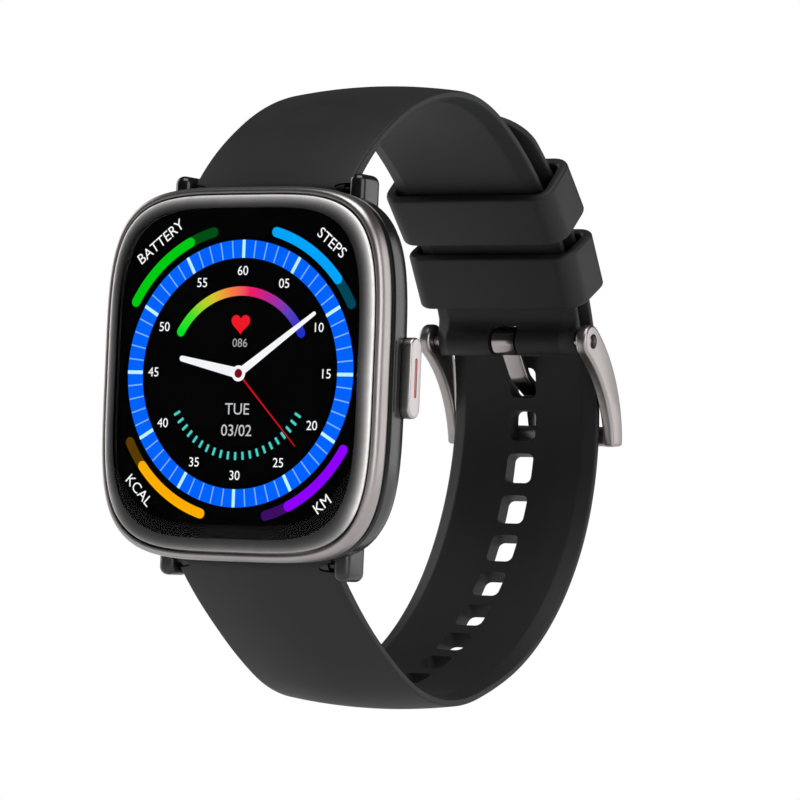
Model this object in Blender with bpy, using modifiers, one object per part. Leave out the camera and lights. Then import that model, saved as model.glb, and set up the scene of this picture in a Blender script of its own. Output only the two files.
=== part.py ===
"""Smartwatch with a silicone pin-buckle strap, closed into its loop.

Frame: the origin is the middle of the flat sensor window that rests on the wrist.
+X runs to the side button, +Y out of the back and through the loop, +Z to twelve o'clock.
Sizes are in millimetres and angles in degrees; MM turns a size into Blender's metres.
"""
import math

import bmesh
import bpy
from mathutils import Matrix, Vector

MM = 0.001

# Driving dimensions of the head.
GLASS_HALF = (18.3, 20.8)
BEZEL_HALF = (19.25, 21.87)
CORNER_POWER = 4.3
GLASS_FRONT_Y = -11.0
GLASS_BACK_Y = -9.8
BEZEL_FRONT_Y = -10.1
BEZEL_BACK_Y = -7.7
CASE_FRONT_Y = -7.3
SPIGOT_FRONT_Y = -8.2
COVER_BACK_Y = -0.9
COVER_FRONT_Y = -2.1
COVER_HALF = (14.8, 17.5)
LEDGE_HALF = (11.6, 14.2)
CAVITY_HALF = (17.0, 19.2)
OUTLINE_POINTS = 44
LEDGE_FRONT_Y = -3.2

# Driving dimensions of the lugs and spring bars.
BAR_Y = -4.25
BAR_Z = 21.8
LUG_INNER_X = 11.1
LUG_SIZE = (2.1, 4.5, 7.0)
LUG_Y = -3.45
LUG_BEVEL = 1.0
BAR_TUBE_RADIUS = 0.75
BAR_TUBE_HALF = 10.2
BAR_TIP_RADIUS = 0.45

# Driving dimensions of the strap: each run is an arc as (radius, sweep).
STRAP_HALF_WIDTH = 10.85
CLASP_HALF_WIDTH = 10.2
TAIL_HALF_WIDTH = 10.45
TAPER_FROM_BAR = (70.0, 100.0)
STRAP_THICK = 2.2
STRAP_ROOT_THICK = 2.9
ROOT_LENGTH = 14.0
LAYER_GAP = 0.8
STRAP_CROWN = 0.75
UPPER_HEADING = 54.34
UPPER_RUNS = ((34.75, 43.69), (21.89, 35.64), (44.68, 45.47))
LOWER_RUNS = ((35.07, 87.87), (62.22, 6.78), (23.28, 43.49), (65.07, 19.04))
TAIL_SWEEP = 41.5
TAIL_CORNER = 6.0
KNUCKLE_RADIUS = 2.0
HOLE_COUNT = 14
HOLE_PITCH = 5.75
FIRST_HOLE_AT = 23.8
HOLE_HALF = (1.9, 1.95)

# Driving dimensions of the keepers and the buckle.
KEEPER_ANGLES = {"lower_keeper": 30.9, "upper_keeper": 43.4}
KEEPER_LENGTH = 7.4
KEEPER_WALL = 1.4
KEEPER_SLACK = 0.3
ARM_INNER_X = 10.8
ARM_OUTER_X = 12.4
BUCKLE_PIN_RADIUS = 0.8
SLEEVE_HALF = 1.65
PIN_HALF = 11.95
CLEAR = 0.3

# Driving dimensions of the side button.
BUTTON_Y = -3.9
STEM_Y = -4.2
BUTTON_HALF_LENGTH = 4.7
BUTTON_HALF_WIDTH = 1.3
BUTTON_FACE_X = 20.4
BUTTON_BACK_X = 18.7
STEM_INNER_X = 15.6

# Places on the back: the cover's screws and the charging contacts.
SCREW_PLACES = ((10.9, 13.3), (-10.9, 13.3), (-10.9, -13.3), (10.9, -13.3))
PIN_PLACES = (-1.6, 1.6)
PIN_Z = -11.2

# The buckle's arm and tongue, drawn about the pin: headings and sweeps in degrees.
ARM_START_HEADING = -33.0
ARM_SWEEP = 52.0
ARM_RADIUS = 17.4
ARM_HALF_START = 2.1
ARM_HALF_END = 1.35
CROSSBAR_OUT = 0.4
CROSSBAR_UP = 1.3
CROSSBAR_NOTCH = 0.6
TONGUE_START = -52.3
TONGUE_STRAIGHT = 5.0
TONGUE_HALF = (1.35, 0.5)

UP_Y = Matrix.Rotation(math.radians(90), 4, "X")
ALONG_X = Matrix.Rotation(math.radians(90), 4, "Y")

PAINTS = {
    "black_ink_glass": ((0.012, 0.012, 0.014), 0.05, 0.0),
    "gunmetal_pvd": ((0.16, 0.145, 0.14), 0.22, 1.0),
    "black_case": ((0.022, 0.022, 0.024), 0.3, 0.0),
    "black_silicone": ((0.02, 0.02, 0.021), 0.62, 0.0),
    "satin_steel": ((0.62, 0.6, 0.59), 0.3, 1.0),
    "red_lacquer": ((0.65, 0.03, 0.03), 0.4, 0.0),
    "stainless": ((0.55, 0.55, 0.55), 0.25, 1.0),
    "seal_rubber": ((0.05, 0.05, 0.05), 0.8, 0.0),
    "circuit_green": ((0.02, 0.12, 0.05), 0.5, 0.0),
    "cell_wrap": ((0.1, 0.1, 0.11), 0.45, 0.0),
    "flex_amber": ((0.45, 0.2, 0.03), 0.5, 0.0),
    "gold_contact": ((0.8, 0.55, 0.2), 0.25, 1.0),
    "emitter_green": ((0.05, 0.6, 0.15), 0.3, 0.0),
    "emitter_red": ((0.7, 0.04, 0.03), 0.3, 0.0),
    "bracket_alloy": ((0.4, 0.4, 0.42), 0.5, 1.0),
}


def clear_scene():
    for obj in list(bpy.data.objects):
        bpy.data.objects.remove(obj, do_unlink=True)


def new_collection(name):
    collection = bpy.data.collections.new(name)
    bpy.context.scene.collection.children.link(collection)
    return collection


def paint(obj, name):
    colour, roughness, metallic = PAINTS[name]
    material = bpy.data.materials.get(name) or bpy.data.materials.new(name)
    material.use_nodes = True
    shader = material.node_tree.nodes["Principled BSDF"]
    shader.inputs["Base Color"].default_value = (*colour, 1.0)
    shader.inputs["Roughness"].default_value = roughness
    shader.inputs["Metallic"].default_value = metallic
    material.diffuse_color = (*colour, 1.0)
    obj.data.materials.clear()
    obj.data.materials.append(material)


def place(obj, name, group, finish=None):
    """Name an object, move it to its collection and give it its finish."""
    for owner in list(obj.users_collection):
        owner.objects.unlink(obj)
    group.objects.link(obj)
    obj.name = name
    if finish:
        paint(obj, finish)
    else:
        obj.hide_render = True
        obj.display_type = "WIRE"
    return obj


def mesh_object(name, bm):
    bmesh.ops.recalc_face_normals(bm, faces=bm.faces)
    mesh = bpy.data.meshes.new(name)
    bm.to_mesh(mesh)
    bm.free()
    return bpy.data.objects.new(name, mesh)


def box(name, group, finish, low, high):
    """A block between two corners."""
    bm = bmesh.new()
    bmesh.ops.create_cube(bm, size=1.0)
    size = Vector([(b - a) * MM for a, b in zip(low, high)])
    middle = Vector([(a + b) * MM / 2 for a, b in zip(low, high)])
    bmesh.ops.scale(bm, vec=size, verts=bm.verts)
    bmesh.ops.translate(bm, vec=middle, verts=bm.verts)
    return place(mesh_object(name, bm), name, group, finish)


def rod(name, group, finish, radius, start, end, turn, sides=24):
    """A round bar between two points, with turn laying its length along their line."""
    start = Vector(start) * MM
    end = Vector(end) * MM
    bm = bmesh.new()
    bmesh.ops.create_cone(bm, cap_ends=True, segments=sides, radius1=radius * MM, radius2=radius * MM,
                          depth=(end - start).length)
    bmesh.ops.transform(bm, matrix=Matrix.Translation((start + end) / 2) @ turn, verts=bm.verts)
    return place(mesh_object(name, bm), name, group, finish)


def ring(name, group, finish, outer, inner, start, end, turn, sides=24):
    """A round tube between two points."""
    tube = rod(name, group, finish, outer, start, end, turn, sides)
    axis = (Vector(end) - Vector(start)).normalized()
    bore = rod(name + "_bore", CUTTERS, None, inner, Vector(start) - axis, Vector(end) + axis, turn, sides)
    cut(tube, bore)
    return tube


def loft(name, group, finish, rings):
    """A closed solid through rings that all have the same number of points."""
    bm = bmesh.new()
    rows = [[bm.verts.new(Vector(point) * MM) for point in ring_points] for ring_points in rings]
    count = len(rows[0])
    for low, high in zip(rows, rows[1:]):
        for i in range(count):
            j = (i + 1) % count
            bm.faces.new((low[i], low[j], high[j], high[i]))
    bm.faces.new(rows[0])
    bm.faces.new(rows[-1])
    return place(mesh_object(name, bm), name, group, finish)


def plate(name, group, finish, outlines, thick, matrix):
    """A flat plate from closed outlines, the first solid and the others holes, centred on its own plane."""
    curve = bpy.data.curves.new(name, "CURVE")
    curve.dimensions = "2D"
    curve.fill_mode = "BOTH"
    curve.extrude = thick * MM / 2
    for outline in outlines:
        spline = curve.splines.new("POLY")
        spline.points.add(len(outline) - 1)
        for point, (u, v) in zip(spline.points, outline):
            point.co = (u * MM, v * MM, 0.0, 1.0)
        spline.use_cyclic_u = True
    return solid_from_curve(name, group, finish, curve, matrix)


def solid_from_curve(name, group, finish, curve, matrix):
    """Turn a curve into a welded mesh object in its place."""
    drawn = bpy.data.objects.new(name + "_curve", curve)
    CUTTERS.objects.link(drawn)
    bpy.context.view_layer.update()
    shape = drawn.evaluated_get(bpy.context.evaluated_depsgraph_get())
    mesh = bpy.data.meshes.new_from_object(shape)
    bpy.data.objects.remove(drawn, do_unlink=True)
    bm = bmesh.new()
    bm.from_mesh(mesh)
    bmesh.ops.remove_doubles(bm, verts=bm.verts, dist=0.00001)
    bmesh.ops.transform(bm, matrix=matrix, verts=bm.verts)
    return place(mesh_object(name, bm), name, group, finish)


def combine(target, tool, operation):
    modifier = target.modifiers.new(tool.name, "BOOLEAN")
    modifier.operation = operation
    modifier.object = tool


def cut(target, tool):
    combine(target, tool, "DIFFERENCE")


def bevel(obj, width, segments=2, angle=40):
    modifier = obj.modifiers.new("bevel", "BEVEL")
    modifier.width = width * MM
    modifier.segments = segments
    modifier.limit_method = "ANGLE"
    modifier.angle_limit = math.radians(angle)


def smooth(obj, angle=35):
    obj.data.shade_smooth()
    obj.data.set_sharp_from_angle(angle=math.radians(angle))


def squircle(half, y, inset=0.0, power=CORNER_POWER, count=OUTLINE_POINTS):
    """A rounded-square ring across the head at depth y."""
    points = []
    for i in range(count):
        angle = 2 * math.pi * i / count
        c, s = math.cos(angle), math.sin(angle)
        x = (half[0] - inset) * math.copysign(abs(c) ** (2 / power), c)
        z = (half[1] - inset) * math.copysign(abs(s) ** (2 / power), s)
        points.append((x, y, z))
    return points


def squircle_solid(name, group, finish, stations, power=CORNER_POWER):
    """A solid through (half, y, inset) stations from front to back."""
    rings = [squircle(half, y, inset, power) for half, y, inset in stations]
    return loft(name, group, finish, rings)


def pill(half_length, half_width, corner=8):
    """A slot outline: straight sides with round ends, long way up."""
    points = []
    for end, start in ((1, 0.0), (-1, 180.0)):
        for i in range(corner + 1):
            angle = math.radians(start + 180.0 * i / corner)
            points.append((half_width * math.cos(angle),
                           end * (half_length - half_width) + half_width * math.sin(angle)))
    return points


def rounded_rectangle(half_u, half_v, radius, corner=4):
    points = []
    for turn, (su, sv) in enumerate(((1, 1), (-1, 1), (-1, -1), (1, -1))):
        for i in range(corner + 1):
            angle = math.radians(90.0 * turn + 90.0 * i / corner)
            points.append((su * (half_u - radius) + radius * math.cos(angle),
                           sv * (half_v - radius) + radius * math.sin(angle)))
    return points


def facing_x(x, y, z):
    """Stand a flat outline's plane across X: its first axis along Y and its second along Z."""
    turn = Matrix(((0, 0, 1), (1, 0, 0), (0, 1, 0))).to_4x4()
    return Matrix.Translation(Vector((x, y, z)) * MM) @ turn


# The strap's route in the plane of the loop, as (point, heading) along tangent arcs.

def arc_point(start, heading, radius, sweep):
    """The end of a clockwise arc and its heading there, in degrees."""
    before = math.radians(heading)
    after = math.radians(heading - sweep)
    y = start[0] + radius * (math.sin(before) - math.sin(after))
    z = start[1] - radius * (math.cos(before) - math.cos(after))
    return (y, z), heading - sweep


def route_point(route, distance):
    """The point and heading at a distance along a route of (start, heading, runs)."""
    point, heading, runs = route
    for radius, sweep in runs:
        length = radius * math.radians(sweep)
        if distance <= length or (radius, sweep) == runs[-1]:
            return arc_point(point, heading, radius, math.degrees(distance / radius))
        point, heading = arc_point(point, heading, radius, sweep)
        distance -= length
    raise ValueError("a route needs at least one run")


def route_length(route):
    return sum(radius * math.radians(sweep) for radius, sweep in route[2])


def beside(point, heading, offset):
    """A point set off to the outer side of the route."""
    angle = math.radians(heading)
    return point[0] - offset * math.sin(angle), point[1] + offset * math.cos(angle)


def strap_section(route, distance, half_width, outer, inner):
    """One cross-section of a strap: full width outside, bevelled to a narrower inner face."""
    point, heading = route_point(route, distance)
    edge = min(0.25, (outer - inner) / 6)
    shoulder = inner + 0.3 * (outer - inner)
    chamfer = min(1.9, half_width / 3)
    rim = outer - min(STRAP_CROWN, (outer - inner) / 3)
    crown = [(half_width * share, outer - (outer - rim) * share * share) for share in (-0.66, -0.33, 0, 0.33, 0.66)]
    profile = [(edge - half_width, rim), *crown, (half_width - edge, rim), (half_width, rim - edge),
               (half_width, shoulder), (half_width - chamfer, inner), (chamfer - half_width, inner),
               (-half_width, shoulder), (-half_width, rim - edge)]
    return [(x, *beside(point, heading, offset)) for x, offset in profile]


UPPER_ROUTE = ((BAR_Y, BAR_Z), UPPER_HEADING, UPPER_RUNS)
CLASP_END, CLASP_HEADING = route_point(UPPER_ROUTE, route_length(UPPER_ROUTE))
LAYER_RADIUS = UPPER_RUNS[-1][0]
LAYER_CENTRE = beside(CLASP_END, CLASP_HEADING, -LAYER_RADIUS)
BUCKLE_AXIS = beside(CLASP_END, CLASP_HEADING, STRAP_THICK / 2 - KNUCKLE_RADIUS)
TAIL_RADIUS = LAYER_RADIUS + STRAP_THICK + LAYER_GAP
TAIL_HEADING = CLASP_HEADING + TAIL_SWEEP
LOWER_ROUTE = (beside(LAYER_CENTRE, TAIL_HEADING, TAIL_RADIUS), TAIL_HEADING,
               ((TAIL_RADIUS, TAIL_SWEEP), *LOWER_RUNS))
LOWER_BAR, LOWER_BAR_HEADING = route_point(LOWER_ROUTE, route_length(LOWER_ROUTE))


# The head.

def make_cover_glass():
    glass = squircle_solid("cover_glass", PARTS, "black_ink_glass", (
        (GLASS_HALF, GLASS_FRONT_Y, 3.2), (GLASS_HALF, GLASS_FRONT_Y + 0.1, 1.9),
        (GLASS_HALF, GLASS_FRONT_Y + 0.28, 0.9), (GLASS_HALF, GLASS_FRONT_Y + 0.55, 0.25),
        (GLASS_HALF, GLASS_FRONT_Y + 0.8, 0.0), (GLASS_HALF, GLASS_BACK_Y, 0.1)))
    smooth(glass, 50)


def make_display():
    panel = squircle_solid("display_panel", PARTS, "black_ink_glass", (
        ((16.3, 18.8), -9.5, 0.0), ((16.3, 18.8), -8.3, 0.0)), power=4.8)
    smooth(panel)
    gasket = squircle_solid("display_gasket", PARTS, "seal_rubber", (
        ((18.1, 20.6), -9.5, 0.0), ((18.1, 20.6), -9.2, 0.0)))
    opening = squircle_solid("display_gasket_opening", CUTTERS, None, (
        ((17.3, 19.8), -10.5, 0.0), ((17.3, 19.8), -8.5, 0.0)))
    cut(gasket, opening)


def make_bezel():
    """The metal front frame: a pillowed ring with a ledge that carries the glass."""
    bezel = squircle_solid("bezel_frame", PARTS, "gunmetal_pvd", (
        (BEZEL_HALF, BEZEL_FRONT_Y, 0.65), (BEZEL_HALF, BEZEL_FRONT_Y + 0.2, 0.4),
        (BEZEL_HALF, BEZEL_FRONT_Y + 0.6, 0.14), (BEZEL_HALF, BEZEL_FRONT_Y + 1.1, 0.02),
        (BEZEL_HALF, BEZEL_BACK_Y - 0.3, 0.0), (BEZEL_HALF, BEZEL_BACK_Y, 0.2)))
    seat = squircle_solid("bezel_glass_seat", CUTTERS, None, (
        (GLASS_HALF, BEZEL_FRONT_Y - 1, -0.22), (GLASS_HALF, -8.9, -0.22)))
    window = squircle_solid("bezel_window", CUTTERS, None, (
        (CAVITY_HALF, -9.5, 0.0), (CAVITY_HALF, BEZEL_BACK_Y + 1, 0.0)))
    spigot = squircle_solid("bezel_spigot_seat", CUTTERS, None, (
        (CAVITY_HALF, SPIGOT_FRONT_Y - CLEAR, -1.2), (CAVITY_HALF, BEZEL_BACK_Y + 1, -1.2)))
    for tool in (seat, window, spigot):
        cut(bezel, tool)
    smooth(bezel)


def make_case():
    """The mid case: a hollow barrel with a rear ledge, a front spigot and four lugs."""
    case = squircle_solid("case_frame", PARTS, "black_case", (
        (BEZEL_HALF, CASE_FRONT_Y, 0.6), (BEZEL_HALF, CASE_FRONT_Y + 0.35, 0.55),
        (BEZEL_HALF, CASE_FRONT_Y + 0.55, 0.05), (BEZEL_HALF, -4.6, 0.1), (BEZEL_HALF, -3.3, 0.6),
        (BEZEL_HALF, -2.1, 1.6), (BEZEL_HALF, -1.3, 2.75), (BEZEL_HALF, COVER_BACK_Y, 3.65)))
    spigot = squircle_solid("case_spigot", CUTTERS, None, (
        (CAVITY_HALF, SPIGOT_FRONT_Y, -0.9), (CAVITY_HALF, CASE_FRONT_Y + 0.6, -0.9)))
    combine(case, spigot, "UNION")
    for index, (x, z) in enumerate(((1, 1), (-1, 1), (-1, -1), (1, -1))):
        combine(case, make_lug(index, x, z), "UNION")
    cavity = squircle_solid("case_cavity", CUTTERS, None, (
        (CAVITY_HALF, -8.5, 0.0), (CAVITY_HALF, LEDGE_FRONT_Y, 0.0)))
    ledge = squircle_solid("case_ledge_opening", CUTTERS, None, (
        (LEDGE_HALF, -4.0, 0.0), (LEDGE_HALF, 0.0, 0.0)))
    seat = squircle_solid("case_cover_seat", CUTTERS, None, (
        (COVER_HALF, COVER_FRONT_Y - 0.3, -0.25), (COVER_HALF, 0.0, -0.25)))
    groove = squircle_solid("case_seal_groove", CUTTERS, None, (
        ((14.5, 17.2), -2.85, 0.0), ((14.5, 17.2), -2.2, 0.0)))
    keep = squircle_solid("case_seal_land", CUTTERS, None, (
        ((13.3, 16.0), -3.0, 0.0), ((13.3, 16.0), -2.1, 0.0)))
    cut(groove, keep)
    channels = [rod("case_strap_channel_" + end, CUTTERS, None, STRAP_ROOT_THICK / 2 + CLEAR,
                    (-LUG_INNER_X, y, z), (LUG_INNER_X, y, z), ALONG_X, 20)
                for end, y, z in (("upper", BAR_Y, BAR_Z), ("lower", *LOWER_BAR))]
    for tool in (cavity, ledge, seat, groove, *channels):
        cut(case, tool)
    for tool in case_openings():
        cut(case, tool)
    smooth(case)


def make_lug(index, side, end):
    """A rounded pod at one corner; a pair of them holds a spring bar."""
    x = side * (LUG_INNER_X + LUG_SIZE[0] / 2)
    z = end * (BAR_Z + 1.9 - LUG_SIZE[2] / 2)
    low = (x - LUG_SIZE[0] / 2, LUG_Y - LUG_SIZE[1] / 2, z - LUG_SIZE[2] / 2)
    high = (x + LUG_SIZE[0] / 2, LUG_Y + LUG_SIZE[1] / 2, z + LUG_SIZE[2] / 2)
    lug = box("case_lug_%d" % index, CUTTERS, None, low, high)
    bevel(lug, LUG_BEVEL, 3)
    return lug


def case_openings():
    """The spring-bar sockets, the button pocket and its stem bore, the microphone slot and screw bores."""
    tools = []
    for end, (y, z) in (("upper", (BAR_Y, BAR_Z)), ("lower", LOWER_BAR)):
        tools.append(rod("case_bar_bore_" + end, CUTTERS, None, 0.5, (-12.7, y, z), (12.7, y, z), ALONG_X, 16))
    pocket = pill(BUTTON_HALF_LENGTH + 0.2, BUTTON_HALF_WIDTH + 0.2)
    tools.append(plate("case_button_pocket", CUTTERS, None, (pocket,), 4.0, facing_x(19.7, BUTTON_Y, 0.0)))
    tools.append(rod("case_stem_bore", CUTTERS, None, 0.62, (16, STEM_Y, 0), (18.5, STEM_Y, 0), ALONG_X, 20))
    tools.append(plate("case_microphone_slot", CUTTERS, None, (pill(1.0, 0.35, 4),), 6.0,
                       facing_x(18.5, BUTTON_Y, 8.4)))
    for x, z in SCREW_PLACES:
        tools.append(rod("case_screw_bore_%d_%d" % (x, z), CUTTERS, None, 0.75, (x, -3.9, z), (x, -2, z), UP_Y, 12))
    return tools


def make_rear_cover():
    cover = squircle_solid("rear_cover", PARTS, "black_case", (
        (COVER_HALF, COVER_FRONT_Y, 0.0), (COVER_HALF, COVER_BACK_Y - 0.25, 0.0),
        (COVER_HALF, COVER_BACK_Y, 0.25)))
    cut(cover, rod("cover_lens_hole", CUTTERS, None, 6.5, (0, -3, 0), (0, 0, 0), UP_Y, 40))
    for x in PIN_PLACES:
        cut(cover, rod("cover_pin_hole_%d" % x, CUTTERS, None, 1.1, (x, -3, PIN_Z), (x, 0, PIN_Z), UP_Y, 20))
    for index, (x, z) in enumerate(SCREW_PLACES):
        cut(cover, rod("cover_head_%d" % index, CUTTERS, None, 1.3, (x, -1.5, z), (x, 0, z), UP_Y, 20))
        cut(cover, rod("cover_shank_%d" % index, CUTTERS, None, 0.8, (x, -3, z), (x, 0, z), UP_Y, 12))
    smooth(cover)
    seal = squircle_solid("rear_cover_seal", PARTS, "seal_rubber", (
        ((14.3, 17.0), -2.75, 0.0), ((14.3, 17.0), -2.2, 0.0)))
    cut(seal, squircle_solid("rear_cover_seal_opening", CUTTERS, None, (
        ((13.6, 16.3), -3.5, 0.0), ((13.6, 16.3), -1.5, 0.0))))


def make_screw(index, x, z):
    """A countersunk-pocket screw with a cross recess."""
    screw = rod("case_screw_%d" % (index + 1), PARTS, "stainless", 1.1, (x, -1.35, z), (x, -1.0, z), UP_Y, 20)
    shank = rod("screw_shank_%d" % index, CUTTERS, None, 0.55, (x, -3.3, z), (x, -1.2, z), UP_Y, 12)
    combine(screw, shank, "UNION")
    for turn, (a, b) in enumerate(((0.7, 0.15), (0.15, 0.7))):
        slot = box("screw_slot_%d_%d" % (index, turn), CUTTERS, None, (x - a, -1.15, z - b), (x + a, -0.8, z + b))
        cut(screw, slot)


def make_sensor():
    """The optical sensor: window, board, emitters and light detector."""
    lens = rod("sensor_lens", PARTS, "black_ink_glass", 8.3, (0, -0.6, 0), (0, 0, 0), UP_Y, 48)
    bevel(lens, 0.4, 3)
    combine(lens, rod("lens_spigot", CUTTERS, None, 6.2, (0, -1.7, 0), (0, -0.3, 0), UP_Y, 40), "UNION")
    smooth(lens)
    board = rod("sensor_board", PARTS, "circuit_green", 7.2, (0, -3.3, 0), (0, -2.75, 0), UP_Y, 32)
    smooth(board)
    for name, finish, z in (("sensor_led_green", "emitter_green", 3.2), ("sensor_led_red", "emitter_red", -3.2)):
        box(name, PARTS, finish, (-1.0, -2.45, z - 0.8), (1.0, -2.0, z + 0.8))
    box("photodiode", PARTS, "black_ink_glass", (-1.3, -2.45, -1.3), (1.3, -2.0, 1.3))
    for name, x in zip(("charging_pin_left", "charging_pin_right"), PIN_PLACES):
        pin = rod(name, PARTS, "gold_contact", 0.9, (x, -2.3, PIN_Z), (x, -0.75, PIN_Z), UP_Y, 20)
        smooth(pin)


def make_internals():
    """Bracket, board, cell and the small modules between the display and the rear cover."""
    bracket = squircle_solid("mid_plate", PARTS, "bracket_alloy", (
        ((15.9, 18.2), -7.7, 0.0), ((15.9, 18.2), -7.25, 0.0)), power=5.0)
    cut(bracket, box("mid_plate_notch", CUTTERS, None, (-4.2, -9, 17.0), (4.2, -6, 20)))
    box("main_board", PARTS, "circuit_green", (-14.0, -6.9, 1.2), (12.4, -6.2, 16.2))
    shield = box("processor_shield", PARTS, "bracket_alloy", (-5.0, -5.9, 4.0), (5.5, -4.7, 14.0))
    bevel(shield, 0.4, 2)
    battery = box("battery", PARTS, "cell_wrap", (-12.4, -6.9, -16.4), (12.4, -3.75, 0.4))
    bevel(battery, 0.8, 3)
    motor = rod("vibration_motor", PARTS, "stainless", 3.4, (9.7, -5.9, 10.4), (9.7, -3.8, 10.4), UP_Y, 32)
    smooth(motor)
    speaker = box("speaker", PARTS, "black_case", (-13.4, -5.9, 4.0), (-6.0, -3.8, 13.4))
    bevel(speaker, 0.5, 2)
    box("microphone", PARTS, "stainless", (14.9, -5.3, 7.0), (16.6, -3.6, 9.8))
    make_display_flex()


def make_display_flex():
    """A folded ribbon from the back of the display over the bracket's notch to the main board."""
    outside = ((-8.11, 13.0), (-8.11, 17.45), (-7.85, 17.86), (-6.7, 17.86), (-6.49, 17.65), (-6.49, 16.6))
    inside = ((-6.61, 16.6), (-6.61, 17.55), (-6.8, 17.74), (-7.8, 17.74), (-7.99, 17.35), (-7.99, 13.0))
    plate("display_flex", PARTS, "flex_amber", (outside + inside,), 6.0, facing_x(0.0, 0.0, 0.0))


# The side button.

def make_button():
    cap = plate("button_cap", PARTS, "satin_steel", (pill(BUTTON_HALF_LENGTH, BUTTON_HALF_WIDTH),),
                BUTTON_FACE_X - BUTTON_BACK_X, facing_x((BUTTON_FACE_X + BUTTON_BACK_X) / 2, BUTTON_Y, 0.0))
    bevel(cap, 0.18, 2)
    cut(cap, plate("button_inlay_groove", CUTTERS, None, (pill(2.3, 0.27, 4),), 0.6,
                   facing_x(BUTTON_FACE_X, BUTTON_Y, 0.0)))
    smooth(cap)
    plate("button_accent", PARTS, "red_lacquer", (pill(2.22, 0.2, 4),), 0.2,
          facing_x(BUTTON_FACE_X - 0.12, BUTTON_Y, 0.0))
    rod("button_stem", PARTS, "stainless", 0.42, (STEM_INNER_X, STEM_Y, 0), (18.3, STEM_Y, 0), ALONG_X, 20)
    ring("button_clip", PARTS, "stainless", 0.9, 0.5, (16.3, STEM_Y, 0), (16.6, STEM_Y, 0), ALONG_X, 20)
    ring("button_seal", PARTS, "seal_rubber", 0.58, 0.46, (17.2, STEM_Y, 0), (17.6, STEM_Y, 0), ALONG_X, 20)
    switch = box("button_switch", PARTS, "black_case", (13.0, -5.6, -2.2), (14.6, -3.6, 2.2))
    bevel(switch, 0.3, 2)


# The spring bars.

def make_spring_bar(end, y, z):
    """A sprung bar: a tube, a coil inside it and two tips that reach into the lugs."""
    tube = ring(end + "_bar_tube", PARTS, "stainless", BAR_TUBE_RADIUS, BAR_TIP_RADIUS + 0.07,
                (-BAR_TUBE_HALF, y, z), (BAR_TUBE_HALF, y, z), ALONG_X, 20)
    smooth(tube)
    for name, side in (("left", -1), ("right", 1)):
        make_bar_tip("%s_bar_tip_%s" % (end, name), side, y, z)
    make_coil(end + "_bar_spring", 7.0, 0.3, 0.07, 7, y, z)


def make_bar_tip(name, side, y, z):
    """A stepped pin turned about the bar's axis."""
    profile = ((7.6, 0.0), (7.6, BAR_TIP_RADIUS), (11.0, BAR_TIP_RADIUS), (11.1, 0.38), (12.2, 0.38),
               (12.35, 0.25), (12.35, 0.0))
    bm = bmesh.new()
    chain = [bm.verts.new((radius * MM, 0.0, -side * along * MM)) for along, radius in profile]
    for first, second in zip(chain, chain[1:]):
        bm.edges.new((first, second))
    bmesh.ops.spin(bm, geom=bm.verts[:] + bm.edges[:], angle=2 * math.pi, steps=16, axis=(0, 0, 1),
                   cent=(0, 0, 0))
    bmesh.ops.remove_doubles(bm, verts=bm.verts, dist=0.000005)
    turn = Matrix.Rotation(math.radians(-90), 4, "Y")
    bmesh.ops.transform(bm, matrix=turn, verts=bm.verts)
    tip = place(mesh_object(name, bm), name, PARTS, "stainless")
    tip.location = Vector((0.0, y, z)) * MM
    smooth(tip)


def make_coil(name, half_length, radius, wire, turns, y, z):
    curve = bpy.data.curves.new(name, "CURVE")
    curve.dimensions = "3D"
    curve.bevel_depth = wire * MM
    curve.bevel_resolution = 1
    curve.use_fill_caps = True
    steps = turns * 8
    spline = curve.splines.new("POLY")
    spline.points.add(steps)
    for i, point in enumerate(spline.points):
        angle = 2 * math.pi * i / 8
        x = half_length * (2 * i / steps - 1)
        point.co = (x * MM, (y + radius * math.cos(angle)) * MM, (z + radius * math.sin(angle)) * MM, 1.0)
    solid_from_curve(name, PARTS, "stainless", curve, Matrix.Identity(4))


# The strap.

def root_sections(route, thick, reverse=False):
    """The rounded end of a strap round its spring bar, as (distance, half width, outer, inner)."""
    half = thick / 2
    sections = []
    for angle in (12, 40, 65, 90):
        a = math.radians(angle)
        sections.append((-half * math.cos(a), STRAP_HALF_WIDTH, half * math.sin(a), -half * math.sin(a)))
    if reverse:
        length = route_length(route)
        return [(length - s, w, o, i) for s, w, o, i in reversed(sections)]
    return sections


def ease(share):
    share = min(max(share, 0.0), 1.0)
    return share * share * (3 - 2 * share)


def strap_thickness(from_bar):
    """Full thickness of the strap at a distance from its spring bar."""
    return STRAP_ROOT_THICK + (STRAP_THICK - STRAP_ROOT_THICK) * ease(from_bar / ROOT_LENGTH)


def upper_half_width(distance):
    """The short half narrows steadily from its spring bar to the buckle."""
    return STRAP_HALF_WIDTH + (CLASP_HALF_WIDTH - STRAP_HALF_WIDTH) * distance / route_length(UPPER_ROUTE)


def lower_half_width(from_bar):
    """The long half narrows on its way to the buckle, to pass between the arms."""
    start, end = TAPER_FROM_BAR
    share = ease((from_bar - start) / (end - start))
    return STRAP_HALF_WIDTH + (TAIL_HALF_WIDTH - STRAP_HALF_WIDTH) * share


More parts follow.
